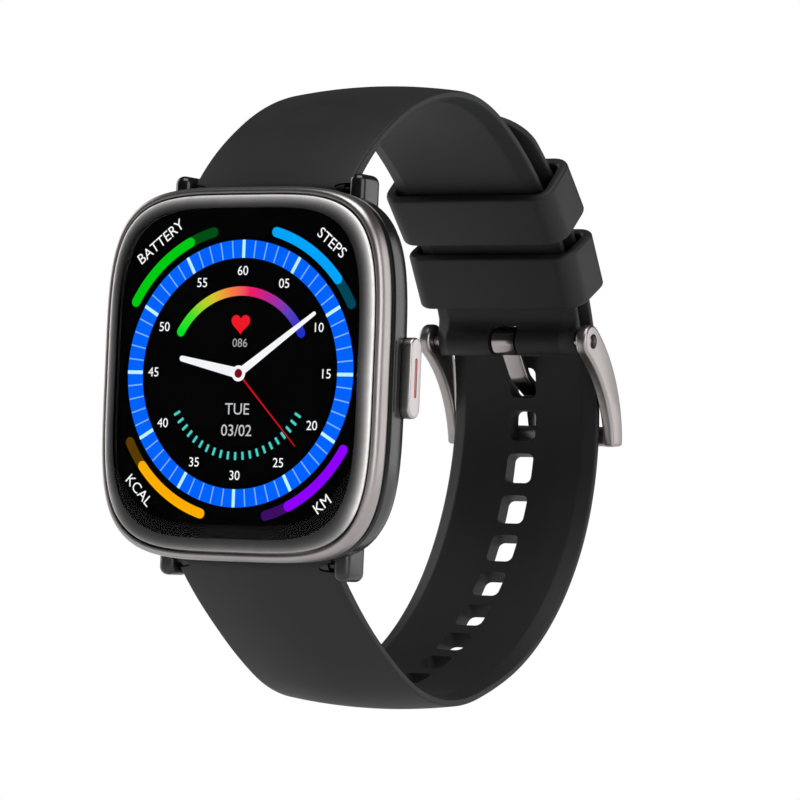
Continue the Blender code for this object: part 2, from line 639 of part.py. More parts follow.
def make_upper_strap():
    """The short half: spring bar to buckle, with a knuckle round the buckle's pin."""
    length = route_length(UPPER_ROUTE)
    sections = root_sections(UPPER_ROUTE, STRAP_ROOT_THICK)
    steps = 30
    for i in range(1, steps + 1):
        s = (length - 2.8) * i / steps
        half = strap_thickness(s) / 2
        sections.append((s, upper_half_width(s), half, -half))
    half = STRAP_THICK / 2
    centre = half - KNUCKLE_RADIUS
    for angle in (155, 130, 110, 90, 60, 30, 8):
        a = math.radians(angle)
        reach = KNUCKLE_RADIUS * math.cos(a)
        rise = KNUCKLE_RADIUS * math.sin(a)
        top = half if angle > 90 else centre + rise
        sections.append((length + reach, CLASP_HALF_WIDTH, top, centre - rise))
    rings = [strap_section(UPPER_ROUTE, *section) for section in sections]
    strap = loft("upper_strap", PARTS, "black_silicone", rings)
    y, z = BUCKLE_AXIS
    cut(strap, rod("upper_strap_root_bore", CUTTERS, None, BAR_TUBE_RADIUS + 0.15,
                   (-12, BAR_Y, BAR_Z), (12, BAR_Y, BAR_Z), ALONG_X, 20))
    cut(strap, rod("upper_strap_pin_bore", CUTTERS, None, BUCKLE_PIN_RADIUS + 0.15,
                   (-12, y, z), (12, y, z), ALONG_X, 20))
    slot = box("upper_strap_tongue_slot", CUTTERS, None, (-SLEEVE_HALF - 0.35, -3.4, -6), (SLEEVE_HALF + 0.35, 4.6, 2.6))
    slot.location = Vector((0.0, y, z)) * MM
    slot.rotation_euler = (math.radians(CLASP_HEADING + 90), 0.0, 0.0)
    cut(strap, slot)
    smooth(strap)


def tail_half_width(distance):
    """The strap's half width near its free end, which is rounded off."""
    across = 1 - distance / TAIL_CORNER
    return TAIL_HALF_WIDTH - TAIL_CORNER * (1 - math.sqrt(max(1 - across * across, 0.0)))


def make_lower_strap():
    """The long half: free end, over the short half, round the wrist and up to the lower lugs."""
    length = route_length(LOWER_ROUTE)
    half = STRAP_THICK / 2
    sections = []
    for s in (0.0, 0.25, 0.9, 2.0, 3.6, TAIL_CORNER):
        thin = 0.6 if s == 0.0 else 1.0
        sections.append((s, tail_half_width(s), half * thin, -half * thin))
    steps = 52
    for i in range(1, steps + 1):
        s = TAIL_CORNER + (length - TAIL_CORNER) * i / steps - 0.001
        thick = strap_thickness(length - s) / 2
        sections.append((s, lower_half_width(length - s), thick, -thick))
    sections.extend(root_sections(LOWER_ROUTE, STRAP_ROOT_THICK, reverse=True)[1:])
    rings = [strap_section(LOWER_ROUTE, *section) for section in sections]
    strap = loft("lower_strap", PARTS, "black_silicone", rings)
    y, z = LOWER_BAR
    cut(strap, rod("lower_strap_root_bore", CUTTERS, None, BAR_TUBE_RADIUS + 0.15,
                   (-12, y, z), (12, y, z), ALONG_X, 20))
    for index in range(HOLE_COUNT):
        cut(strap, make_hole_cutter(index))
    smooth(strap)


def make_hole_cutter(index):
    """A rounded square punch through the long strap."""
    point, heading = route_point(LOWER_ROUTE, FIRST_HOLE_AT + HOLE_PITCH * index)
    outline = rounded_rectangle(HOLE_HALF[0], HOLE_HALF[1], 0.8, 2)
    angle = math.radians(heading)
    turn = Matrix(((1, 0, 0), (0, math.cos(angle), math.sin(angle)), (0, math.sin(angle), -math.cos(angle))))
    matrix = Matrix.Translation(Vector((0.0, *point)) * MM) @ turn.to_4x4()
    return plate("adjusting_hole_%d" % index, CUTTERS, None, (outline,), 6.0, matrix)


def make_keeper(name, angle):
    """A loop of silicone round both layers, turning about the centre of their shared arc."""
    pivot = bpy.data.objects.new(name + "_pivot", None)
    PARTS.objects.link(pivot)
    pivot.location = Vector((0.0, *LAYER_CENTRE)) * MM
    pivot.rotation_euler = (math.radians(angle), 0.0, 0.0)
    inside = (LAYER_RADIUS - STRAP_THICK / 2 - CLEAR, TAIL_RADIUS + STRAP_THICK / 2 + CLEAR + KEEPER_SLACK)
    middle = sum(inside) / 2
    half_depth = (inside[1] - inside[0]) / 2
    half_width = TAIL_HALF_WIDTH + 0.4
    opening = rounded_rectangle(half_width, half_depth, 1.0, 2)
    body = rounded_rectangle(half_width + KEEPER_WALL, half_depth + KEEPER_WALL, 2.6, 4)
    keeper = plate(name, PARTS, "black_silicone", (body, opening), KEEPER_LENGTH,
                   Matrix.Translation((0.0, middle * MM, 0.0)))
    bevel(keeper, 0.45, 2, 60)
    keeper.parent = pivot
    smooth(keeper)


# The buckle, drawn about its pin: u runs outwards from the loop and v up the strap.

def arm_outline():
    """A crescent blade with a round head over the pin and a blunt end at the crossbar."""
    steps = 10
    left, right = [], []
    for i in range(steps + 1):
        t = i / steps
        point, heading = arc_point((0.0, 0.0), ARM_START_HEADING, ARM_RADIUS, ARM_SWEEP * t)
        half = ARM_HALF_START + (ARM_HALF_END - ARM_HALF_START) * t
        left.append(beside(point, heading, half))
        right.append(beside(point, heading, -half))
    head = []
    for i in range(1, 8):
        angle = math.radians(ARM_START_HEADING - 90 - 180 * i / 8)
        head.append((ARM_HALF_START * math.cos(angle), ARM_HALF_START * math.sin(angle)))
    return left + right[::-1] + head


def make_buckle_frame():
    """Two curved arms joined by a crossbar that lies outside the long strap."""
    y, z = BUCKLE_AXIS
    thick = ARM_OUTER_X - ARM_INNER_X
    middle = (ARM_OUTER_X + ARM_INNER_X) / 2
    outline = arm_outline()
    frame = plate("buckle_frame", PARTS, "gunmetal_pvd", (outline,), thick, facing_x(middle, y, z))
    bevel(frame, 0.4, 2, 60)
    twin = plate("buckle_arm_left", CUTTERS, None, (outline,), thick, facing_x(-middle, y, z))
    bevel(twin, 0.4, 2, 60)
    (u, v), heading = arc_point((0.0, 0.0), ARM_START_HEADING, ARM_RADIUS, ARM_SWEEP)
    u += CROSSBAR_OUT
    v += CROSSBAR_UP
    bar = box("buckle_crossbar", CUTTERS, None, (-middle, -1.15, -1.25), (middle, 1.15, 1.25))
    bar.location = Vector((0.0, y + u, z + v)) * MM
    bar.rotation_euler = (math.radians(heading + 90), 0.0, 0.0)
    bevel(bar, 0.7, 3)
    combine(frame, bar, "UNION")
    combine(frame, twin, "UNION")
    notch = box("buckle_tongue_notch", CUTTERS, None, (-1.6, 0.0, -3.0), (1.6, 3.0, 3.0))
    notch.location = Vector((0.0, y + u - CROSSBAR_NOTCH, z + v)) * MM
    cut(frame, notch)
    cut(frame, rod("buckle_pin_bore", CUTTERS, None, BUCKLE_PIN_RADIUS + 0.15, (-15, y, z), (15, y, z),
                   ALONG_X, 20))
    smooth(frame)


def tongue_route():
    """Centre line of the tongue: along the inside, up through the hole, down over the crossbar."""
    points = []
    point = (0.0, 0.0)
    heading = TONGUE_START
    radians = math.radians(heading)
    for reach in (1.2, TONGUE_STRAIGHT):
        points.append(((reach * math.cos(radians), reach * math.sin(radians)), heading))
    point = points[-1][0]
    for radius, sweep, straight in ((3.0, -25.0, 2.7), (3.4, 60.5, 4.0)):
        steps = 4
        for i in range(1, steps + 1):
            side = math.copysign(1.0, sweep)
            end, turned = arc_point(point, heading, side * radius, sweep * i / steps)
            points.append((end, turned))
        point, heading = points[-1]
        radians = math.radians(heading)
        point = (point[0] + straight * math.cos(radians), point[1] + straight * math.sin(radians))
        points.append((point, heading))
    return points


def make_buckle_tongue():
    """The tongue: a rolled sleeve on the pin and a blade through the strap's hole."""
    y, z = BUCKLE_AXIS
    tongue = rod("buckle_tongue", PARTS, "gunmetal_pvd", KNUCKLE_RADIUS - 0.15, (-SLEEVE_HALF, y, z), (SLEEVE_HALF, y, z),
                 ALONG_X, 24)
    rings = []
    route = tongue_route()
    for index, (point, heading) in enumerate(route):
        thin = 0.6 if index == len(route) - 1 else 1.0
        half_width, half_thick = TONGUE_HALF[0] * thin, TONGUE_HALF[1] * thin
        ring_points = []
        for x, offset in ((half_width, half_thick), (half_width, -half_thick),
                          (-half_width, -half_thick), (-half_width, half_thick)):
            u, v = beside(point, heading, offset)
            ring_points.append((x, y + u, z + v))
        rings.append(ring_points)
    combine(tongue, loft("buckle_tongue_blade", CUTTERS, None, rings), "UNION")
    cut(tongue, rod("buckle_tongue_bore", CUTTERS, None, BUCKLE_PIN_RADIUS + 0.15, (-3, y, z), (3, y, z),
                    ALONG_X, 20))
    smooth(tongue)


def make_buckle_pin():
    y, z = BUCKLE_AXIS
    pin = rod("buckle_pin", PARTS, "stainless", BUCKLE_PIN_RADIUS, (-PIN_HALF, y, z), (PIN_HALF, y, z), ALONG_X, 20)
    smooth(pin)


clear_scene()
PARTS = new_collection("smartwatch")
CUTTERS = new_collection("smartwatch_cutters")

make_cover_glass()
make_display()
make_bezel()
make_case()
make_rear_cover()
for screw_index, (screw_x, screw_z) in enumerate(SCREW_PLACES):
    make_screw(screw_index, screw_x, screw_z)
make_sensor()
make_internals()
make_button()
make_spring_bar("upper", BAR_Y, BAR_Z)
make_spring_bar("lower", *LOWER_BAR)
make_upper_strap()
make_lower_strap()
for keeper_name, keeper_angle in KEEPER_ANGLES.items():
    make_keeper(keeper_name, keeper_angle)
make_buckle_frame()
make_buckle_tongue()
make_buckle_pin()
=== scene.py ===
"""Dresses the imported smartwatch: a lit dial under glass, coated metal, moulded silicone and a studio."""

import math

import bmesh
import bpy
import numpy as np
from bpy.props import FloatProperty, FloatVectorProperty, IntProperty, PointerProperty
from mathutils import Matrix, Vector


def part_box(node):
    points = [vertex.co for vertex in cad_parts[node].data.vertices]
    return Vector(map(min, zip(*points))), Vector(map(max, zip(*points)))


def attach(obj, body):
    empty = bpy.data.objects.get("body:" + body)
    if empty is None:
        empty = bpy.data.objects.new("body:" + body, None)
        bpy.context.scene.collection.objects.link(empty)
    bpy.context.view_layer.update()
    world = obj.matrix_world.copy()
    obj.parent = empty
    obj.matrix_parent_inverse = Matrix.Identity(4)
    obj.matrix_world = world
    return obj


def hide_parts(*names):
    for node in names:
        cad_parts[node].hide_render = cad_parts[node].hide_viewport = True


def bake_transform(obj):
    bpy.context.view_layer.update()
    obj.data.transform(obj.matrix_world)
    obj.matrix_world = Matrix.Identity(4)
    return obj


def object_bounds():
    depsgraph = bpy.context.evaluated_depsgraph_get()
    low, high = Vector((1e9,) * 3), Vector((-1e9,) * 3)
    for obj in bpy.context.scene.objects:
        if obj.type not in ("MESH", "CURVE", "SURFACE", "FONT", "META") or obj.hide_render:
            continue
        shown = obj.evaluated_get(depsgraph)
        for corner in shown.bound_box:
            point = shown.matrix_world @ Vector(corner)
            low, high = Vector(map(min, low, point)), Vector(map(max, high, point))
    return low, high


bl_info = {
    "name": "Smartwatch Dresser",
    "version": (1, 0, 0),
    "blender": (4, 5, 0),
    "location": "View3D > Sidebar > Watch",
    "description": "Builds the finished surfaces of a smartwatch around its packed frame",
    "category": "Object",
}

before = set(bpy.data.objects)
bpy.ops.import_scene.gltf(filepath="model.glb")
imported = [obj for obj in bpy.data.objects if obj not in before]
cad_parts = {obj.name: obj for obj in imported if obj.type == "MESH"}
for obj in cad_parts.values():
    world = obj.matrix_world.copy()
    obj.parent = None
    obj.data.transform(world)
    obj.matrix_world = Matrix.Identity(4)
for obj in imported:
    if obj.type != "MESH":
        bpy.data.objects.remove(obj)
CAD_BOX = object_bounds()

# Sizes are in millimetres and angles in degrees until a mesh is made.
MM = 0.001
CORNER_POWER = 4.3


def span(node):
    """Lowest and highest corner of a frame node, in millimetres."""
    low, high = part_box(node)
    return [v / MM for v in low], [v / MM for v in high]


def half_of(node):
    """Half width and half height of a node centred on the head."""
    low, high = span(node)
    return (high[0] - low[0]) / 2, (high[2] - low[2]) / 2


GLASS_HALF = half_of("cover_glass")
GLASS_FRONT_Y, GLASS_BACK_Y = span("cover_glass")[0][1], span("cover_glass")[1][1]
BEZEL_HALF = half_of("bezel_frame")
BEZEL_BACK_Y = span("bezel_frame")[1][1]
COVER_HALF = half_of("rear_cover")
COVER_FRONT_Y, COVER_BACK_Y = span("rear_cover")[0][1], span("rear_cover")[1][1]
CASE_FRONT_Y = -7.3
SPIGOT_FRONT_Y = span("case_frame")[0][1]
CAVITY_HALF = (17.0, 19.2)
LENS_RADIUS = half_of("sensor_lens")[0]
LENS_ROUND = 0.4
LEDGE_HALF = (11.6, 14.2)
LEDGE_FRONT_Y, LEDGE_BACK_Y = -3.2, -2.4
BEZEL_LEDGE_FRONT_Y, BEZEL_LEDGE_BACK_Y = -8.9, -8.5
BEZEL_WALL, SPIGOT_WALL = 1.2, 0.9
GLASS_GAP, COVER_GAP = 0.22, 0.25
SCREW_PLACES = ((10.9, 13.3), (-10.9, 13.3), (-10.9, -13.3), (10.9, -13.3))
CONTACT_PLACES = ((-1.6, -11.2), (1.6, -11.2))

# The display: a black face, with the dial's thin lit sheets in layers in front of it.
DISPLAY_HALF = (17.3, 19.8)
DIAL_Y = -9.705
DIAL_LAYER = 0.012
DIAL_SHEET = 0.006

# The strap's route: each run is an arc as (radius, sweep), clockwise from the upper bar.
BAR = (-4.25, 21.8)
STRAP_THICK = 2.2
ROOT_THICK = 2.9
ROOT_LENGTH = 14.0
CROWN = 0.75
LAYER_GAP = 0.8
UPPER_HEADING = 54.34
UPPER_RUNS = ((34.75, 43.69), (21.89, 35.64), (44.68, 45.47))
LOWER_RUNS = ((35.07, 87.87), (62.22, 6.78), (23.28, 43.49), (65.07, 19.04))
TAIL_SWEEP = 41.5
TAIL_CORNER = 6.0
KNUCKLE_RADIUS = 2.0
ROOT_HALF_WIDTH = 10.85
CLASP_HALF_WIDTH = 10.2
TAIL_HALF_WIDTH = 10.45
TAPER_FROM_BAR = (70.0, 100.0)
HOLE_COUNT = 14
HOLE_PITCH = 5.75
FIRST_HOLE_AT = 23.8
HOLE_HALF = (1.9, 1.95)
KEEPERS = {"lower_keeper": ("keeper_lower", 30.9), "upper_keeper": ("keeper_upper", 43.4)}
KEEPER_LENGTH = 7.4
KEEPER_WALL = 1.4
ARM_INNER_X, ARM_OUTER_X = 10.8, half_of("buckle_frame")[0]
PIN_RADIUS = 0.8
SLEEVE_HALF = 1.65
PIN_BORE = PIN_RADIUS + 0.15
ROOT_BORE = 0.9
LUG_X, LUG_PAST_BAR = 12.15, 1.9
LUG_HALF = (1.05, 3.5)
LUG_FRONT_Y, LUG_BACK_Y = -5.7, -1.2
ARM_HEADING, ARM_RADIUS, ARM_SWEEP = -33.0, 17.4, 52.0
ARM_HEAD_HALF, ARM_FOOT_HALF = 2.1, 1.35


# Shader maths as expressions.

class Wire:
    """A socket in a material, with arithmetic that adds Math nodes."""

    def __init__(self, owner, socket):
        self.owner = owner
        self.socket = socket

    def _with(self, operation, first, second=None):
        values = {0: first} if second is None else {0: first, 1: second}
        return self.owner.node("ShaderNodeMath", values, operation=operation)

    def __add__(self, other):
        return self._with("ADD", self, other)

    def __radd__(self, other):
        return self._with("ADD", other, self)

    def __sub__(self, other):
        return self._with("SUBTRACT", self, other)

    def __rsub__(self, other):
        return self._with("SUBTRACT", other, self)

    def __mul__(self, other):
        return self._with("MULTIPLY", self, other)

    def __rmul__(self, other):
        return self._with("MULTIPLY", other, self)

    def __pow__(self, other):
        return self._with("POWER", self, other)

    def clipped(self):
        return self._with("MINIMUM", self._with("MAXIMUM", self, 0.0), 1.0)


class Finish:
    """One procedural material: a Principled shader and the nodes that feed it."""

    def __init__(self, name, **settings):
        self.material = bpy.data.materials.new(name)
        self.material.use_nodes = True
        self.tree = self.material.node_tree
        self.shader = self.tree.nodes["Principled BSDF"]
        for socket, value in settings.items():
            self.feed(socket.replace("_", " ").title().replace("Ior", "IOR"), value)

    def node(self, kind, values=None, output=0, **settings):
        made = self.tree.nodes.new(kind)
        stops = settings.pop("stops", None)
        for key, value in settings.items():
            setattr(made, key, value)
        if stops:
            ramp = made.color_ramp
            while len(ramp.elements) < len(stops):
                ramp.elements.new(0.5)
            for element, (place, colour) in zip(ramp.elements, stops):
                element.position = place
                element.color = (*colour, 1.0)
        for key, value in (values or {}).items():
            self.join(made.inputs[key], value)
        return Wire(self, made.outputs[output])

    def join(self, socket, value):
        if isinstance(value, Wire):
            self.tree.links.new(value.socket, socket)
        elif isinstance(value, tuple) and len(value) == 3 and socket.type == "RGBA":
            socket.default_value = (*value, 1.0)
        else:
            socket.default_value = value

    def feed(self, socket, value):
        self.join(self.shader.inputs[socket], value)
        return self

    def places(self):
        return self.node("ShaderNodeTexCoord", output="Object")

    def stretched(self, scale):
        return self.node("ShaderNodeMapping", {"Vector": self.places(), "Scale": scale})

    def noise(self, scale, detail=3.0, where=None):
        values = {"Vector": where or self.places(), "Scale": scale, "Detail": detail}
        return self.node("ShaderNodeTexNoise", values)

    def tint(self, share, first, second):
        return self.node("ShaderNodeMix", {0: share, 6: first, 7: second}, output=2, data_type="RGBA")

    def bump(self, height, strength, distance):
        values = {"Height": height, "Strength": strength, "Distance": distance}
        return self.feed("Normal", self.node("ShaderNodeBump", values))


def shade(colour, factor):
    return tuple(channel * factor for channel in colour)


# Finishes.

def silicone_finish(base):
    """Matt moulded silicone: a fine grain, slight cloudiness and a soft sheen."""
    finish = Finish("black_silicone", sheen_weight=0.02, sheen_roughness=0.5)
    finish.feed("Specular IOR Level", 0.28)
    cloud = finish.noise(180.0, 4.0)
    grain = finish.noise(9000.0, 2.0)
    finish.feed("Base Color", finish.tint(cloud, shade(base, 0.75), shade(base, 1.3)))
    finish.feed("Roughness", (0.44 + cloud * 0.12 + grain * 0.08).clipped())
    return finish.bump(grain, 0.12, 0.00003).material


def gunmetal_finish(name, colour, roughness):
    """Coated metal: fine drawn lines, a cloudy lustre and light rubbing."""
    finish = Finish(name, metallic=1.0)
    drawn = finish.noise(900.0, 3.0, finish.stretched((1.0, 14.0, 1.0)))
    cloud = finish.noise(160.0, 3.0)
    finish.feed("Base Color", finish.tint(cloud, shade(colour, 0.86), shade(colour, 1.12)))
    finish.feed("Roughness", (roughness - 0.04 + drawn * 0.08).clipped())
    return finish.bump(drawn, 0.03, 0.000003).material


def brushed_finish(name, colour, roughness, grain=(1.0, 1.0, 22.0)):
    """Bare metal with a directional satin brushing."""
    finish = Finish(name, metallic=1.0)
    lines = finish.noise(1400.0, 2.0, finish.stretched(grain))
    finish.feed("Base Color", finish.tint(lines, shade(colour, 0.88), shade(colour, 1.08)))
    finish.feed("Roughness", (roughness - 0.06 + lines * 0.14).clipped())
    return finish.bump(lines, 0.08, 0.00001).material


def gloss_finish(name, colour, roughness, coat=0.0, shine=0.5):
    """Polished or satin moulded surface with faint handling marks."""
    finish = Finish(name, coat_weight=coat, coat_roughness=0.05)
    finish.feed("Specular IOR Level", shine)
    smear = finish.noise(240.0, 4.0)
    fine = finish.noise(3600.0, 2.0)
    finish.feed("Base Color", finish.tint(smear, shade(colour, 0.8), shade(colour, 1.2)))
    finish.feed("Roughness", (roughness - 0.03 + smear * 0.05 + fine * 0.02).clipped())
    return finish.bump(fine, 0.03, 0.00001).material


def glass_finish():
    """Clear hardened glass with a coating that keeps its reflections low."""
    finish = Finish("clear_glass", base_color=(1.0, 1.0, 1.0), transmission_weight=1.0, ior=1.2)
    finish.feed("Specular IOR Level", 0.06)
    smear = finish.noise(120.0, 3.0)
    return finish.feed("Roughness", (smear * 0.004).clipped()).material


def glass_edge_finish():
    """The inked curve of the glass: black ink with a painted silver reflection that is brightest at the rim
    and fades inwards, less at the corners.
    """
    finish = Finish("glass_edge_painted_reflection", coat_weight=0.1, coat_roughness=0.04)
    finish.feed("Specular IOR Level", 0.25)
    # rim is each point's depth in from the glass's edge, and the painted reflection fades with it.
    depth = finish.node("ShaderNodeAttribute", attribute_name="rim", output="Fac")
    painted_reflection_fade = finish.node("ShaderNodeMath", {0: 2.718, 1: depth * -3.5}, operation="POWER")
    streak = finish.noise(700.0, 2.0, finish.stretched((1.0, 0.2, 1.0)))
    light = painted_reflection_fade * (0.85 + streak * 0.3)
    # Base Color holds a painted reflection: near white at the rim, black ink further in.
    finish.feed("Base Color", finish.tint(light.clipped(), (0.002, 0.002, 0.003), (1.0, 0.97, 0.96)))
    return finish.feed("Roughness", 0.16 + painted_reflection_fade * 0.1).material


def lit_finish(name, colour):
    """A lit area of the display, with the faint unevenness of its backlight."""
    finish = Finish(name, base_color=(0.0, 0.0, 0.0), roughness=0.6, emission_strength=1.0)
    finish.feed("Specular IOR Level", 0.0)
    cloud = finish.noise(300.0, 2.0)
    glow = finish.tint(cloud, shade(colour, 0.92), shade(colour, 1.06))
    return finish.feed("Emission Color", glow).material


def rainbow_finish():
    """A lit band whose colour follows its own "sweep", from green to blue."""
    finish = Finish("lit_rainbow", base_color=(0.0, 0.0, 0.0), roughness=0.6, emission_strength=1.0)
    finish.feed("Specular IOR Level", 0.0)
    sweep = finish.node("ShaderNodeAttribute", attribute_name="sweep", output="Fac")
    stops = ((0.0, (0.0, 0.75, 0.02)), (0.12, (0.05, 0.75, 0.02)), (0.3, (0.7, 0.55, 0.03)),
             (0.42, (0.95, 0.22, 0.05)), (0.55, (0.9, 0.01, 0.12)), (0.7, (0.45, 0.02, 0.3)),
             (0.85, (0.1, 0.05, 0.5)), (1.0, (0.01, 0.03, 0.6)))
    colour = finish.node("ShaderNodeValToRGB", {"Fac": sweep}, stops=stops)
    return finish.feed("Emission Color", colour).material


# Mesh making.

def finished(name, bm, sharp=35.0):
    """Close, orient and shade a bmesh, and link it as an object at the origin."""
    bmesh.ops.remove_doubles(bm, verts=bm.verts, dist=1e-7)
    bmesh.ops.recalc_face_normals(bm, faces=bm.faces)
    if bm.calc_volume(signed=True) < 0:
        bmesh.ops.reverse_faces(bm, faces=bm.faces)
    mesh = bpy.data.meshes.new(name)
    bm.to_mesh(mesh)
    bm.free()
    mesh.shade_smooth()
    mesh.set_sharp_from_angle(angle=math.radians(sharp))
    obj = bpy.data.objects.new(name, mesh)
    bpy.context.scene.collection.objects.link(obj)
    return obj


def skin(name, rows, loop=False, sharp=35.0):
    """A closed surface through rows of points, each row a ring; a loop joins the last row to the first."""
    bm = bmesh.new()
    grid = [[bm.verts.new(Vector(point) * MM) for point in row] for row in rows]
    pairs = list(zip(grid, grid[1:])) + ([(grid[-1], grid[0])] if loop else [])
    count = len(grid[0])
    for near, far in pairs:
        for i in range(count):
            j = (i + 1) % count
            bm.faces.new((near[i], near[j], far[j], far[i]))
    if not loop:
        bm.faces.new(grid[0])
        bm.faces.new(grid[-1])
    return finished(name, bm, sharp)


def rounded(bm, edges, size, segments):
    bmesh.ops.bevel(bm, geom=edges, offset=size * MM, segments=segments, affect="EDGES", profile=0.5)


def block(name, low, high, round_off=0.0, segments=4):
    """A block between two corners with rounded edges."""
    bm = bmesh.new()
    bmesh.ops.create_cube(bm, size=1.0)
    bmesh.ops.scale(bm, vec=[(b - a) * MM for a, b in zip(low, high)], verts=bm.verts)
    bmesh.ops.translate(bm, vec=[(a + b) * MM / 2 for a, b in zip(low, high)], verts=bm.verts)
    if round_off:
        rounded(bm, bm.edges[:], round_off, segments)
    return finished(name, bm)


def turned(name, profile, centre, axis, sides=64, sharp=35.0):
    """A round piece: (along, radius) pairs turned about an axis through centre, closed at both ends."""
    side = Vector(axis).orthogonal().normalized()
    other = Vector(axis).cross(side)
    rows = []
    for along, radius in profile:
        rows.append([Vector(centre) + Vector(axis) * along
                     + (side * math.cos(a) + other * math.sin(a)) * radius
                     for a in (2 * math.pi * i / sides for i in range(sides))])
    return skin(name, rows, sharp=sharp)


def prism(name, outline, low, high, place, round_off=0.0, hole=None, segments=4, sharp=35.0):
    """A flat outline, with an optional hole, between two heights, put in place by a function of (u, v, w)."""
    bm = bmesh.new()

    def ring(points, level):
        return [bm.verts.new(Vector(place(u, v, level)) * MM) for u, v in points]

    def wall(first, second):
        count = len(first)
        return [bm.faces.new((first[i], first[(i + 1) % count], second[(i + 1) % count], second[i]))
                for i in range(count)]

    outer = ring(outline, low), ring(outline, high)
    wall(*outer)
    if hole:
        inner = ring(hole, low), ring(hole, high)
        wall(*inner)
        for a, b in zip(outer, inner):
            wall(a, b)
    else:
        bm.faces.new(outer[0])
        bm.faces.new(outer[1])
    bmesh.ops.recalc_face_normals(bm, faces=bm.faces)
    if round_off:
        level = {vert for points in (*outer, *(inner if hole else ())) for vert in points}
        rim = [e for e in bm.edges if e.verts[0] in level and len(e.link_faces) == 2
               and e.link_faces[0].normal.angle(e.link_faces[1].normal, 0) > math.radians(50)]
        rounded(bm, rim, round_off, segments)
    return finished(name, bm, sharp)


def settled(obj, sharp=35.0):
    """Turn an object's modifiers into plain mesh."""
    shape = obj.evaluated_get(bpy.context.evaluated_depsgraph_get())
    mesh = bpy.data.meshes.new_from_object(shape)
    obj.modifiers.clear()
    obj.data = mesh
    mesh.shade_smooth()
    mesh.set_sharp_from_angle(angle=math.radians(sharp))
    return obj


def carved(target, tools, sharp=35.0):
    """Add or remove tools, each an (operation, object) pair, and delete them."""
    for operation, tool in tools:
        modifier = target.modifiers.new(tool.name, "BOOLEAN")
        modifier.operation = operation
        modifier.object = tool
    bpy.context.view_layer.update()
    settled(target, sharp)
    for _, tool in tools:
        bpy.data.objects.remove(tool, do_unlink=True)
    return target


def fitted(obj, body, material, slot, *replaced):
    """Give a piece its finish, its body and the frame nodes it stands for; slot is not used."""
    obj.data.materials.clear()
    obj.data.materials.append(material)
    for polygon in obj.data.polygons:
        polygon.material_index = 0
    if body:
        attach(obj, body)
    if replaced:
        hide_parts(*replaced)
    return obj


# The head's outline.

def even_angles(count):
    """Angles whose points lie evenly round the rounded square."""
    fine = np.linspace(0.0, 2 * np.pi, 40001)
    ring = outline_points(BEZEL_HALF, fine)
    steps = np.hypot(np.diff(ring[:, 0]), np.diff(ring[:, 1]))
    reach = np.concatenate(([0.0], np.cumsum(steps)))
    return np.interp(np.linspace(0.0, reach[-1], count, endpoint=False), reach, fine)


def outline_points(half, angles, power=CORNER_POWER):
    c, s = np.cos(angles), np.sin(angles)
    x = half[0] * np.sign(c) * np.abs(c) ** (2 / power)
    z = half[1] * np.sign(s) * np.abs(s) ** (2 / power)
    return np.stack([x, z], 1)


def head_ring(half, y, inset=0.0, count=224):
    flat = outline_points((half[0] - inset, half[1] - inset), even_angles(count))
    return [(x, y, z) for x, z in flat]


def arc_pairs(centre, radius, start, end, steps):
    """Points on an arc, angles in degrees."""
    return [(centre[0] + radius * math.cos(math.radians(a)), centre[1] + radius * math.sin(math.radians(a)))
            for a in np.linspace(start, end, steps)]


def pill(half_length, half_width, steps=17):
    top = arc_pairs((0.0, half_length - half_width), half_width, 0, 180, steps)
    return top + arc_pairs((0.0, half_width - half_length), half_width, 180, 360, steps)


def rounded_rectangle(half_u, half_v, radius, steps=8):
    points = []
    for turn, (su, sv) in enumerate(((1, 1), (-1, 1), (-1, -1), (1, -1))):
        centre = (su * (half_u - radius), sv * (half_v - radius))
        points += arc_pairs(centre, radius, 90 * turn, 90 * turn + 90, steps)
    return points


# The strap's route.

def arc_end(start, heading, radius, sweep):
    before, after = math.radians(heading), math.radians(heading - sweep)
    y = start[0] + radius * (math.sin(before) - math.sin(after))
    z = start[1] - radius * (math.cos(before) - math.cos(after))
    return (y, z), heading - sweep


def on_route(route, distance):
    point, heading, runs = route
    for index, (radius, sweep) in enumerate(runs):
        length = radius * math.radians(sweep)
        if distance <= length or index == len(runs) - 1:
            return arc_end(point, heading, radius, math.degrees(distance / radius))
        point, heading = arc_end(point, heading, radius, sweep)
        distance -= length
    raise ValueError("a route needs at least one run")


def route_length(route):
    return sum(radius * math.radians(sweep) for radius, sweep in route[2])


def beside(point, heading, offset):
    angle = math.radians(heading)
    return point[0] - offset * math.sin(angle), point[1] + offset * math.cos(angle)


UPPER_ROUTE = (BAR, UPPER_HEADING, UPPER_RUNS)
CLASP_END, CLASP_HEADING = on_route(UPPER_ROUTE, route_length(UPPER_ROUTE))
LAYER_RADIUS = UPPER_RUNS[-1][0]
LAYER_CENTRE = beside(CLASP_END, CLASP_HEADING, -LAYER_RADIUS)
BUCKLE_AXIS = beside(CLASP_END, CLASP_HEADING, STRAP_THICK / 2 - KNUCKLE_RADIUS)
TAIL_RADIUS = LAYER_RADIUS + STRAP_THICK + LAYER_GAP
TAIL_HEADING = CLASP_HEADING + TAIL_SWEEP
LOWER_ROUTE = (beside(LAYER_CENTRE, TAIL_HEADING, TAIL_RADIUS), TAIL_HEADING,
               ((TAIL_RADIUS, TAIL_SWEEP), *LOWER_RUNS))
LOWER_BAR = on_route(LOWER_ROUTE, route_length(LOWER_ROUTE))[0]


def eased(share):
    share = min(max(share, 0.0), 1.0)
    return share * share * (3 - 2 * share)


def thickness_at(from_bar):
    return ROOT_THICK + (STRAP_THICK - ROOT_THICK) * eased(from_bar / ROOT_LENGTH)


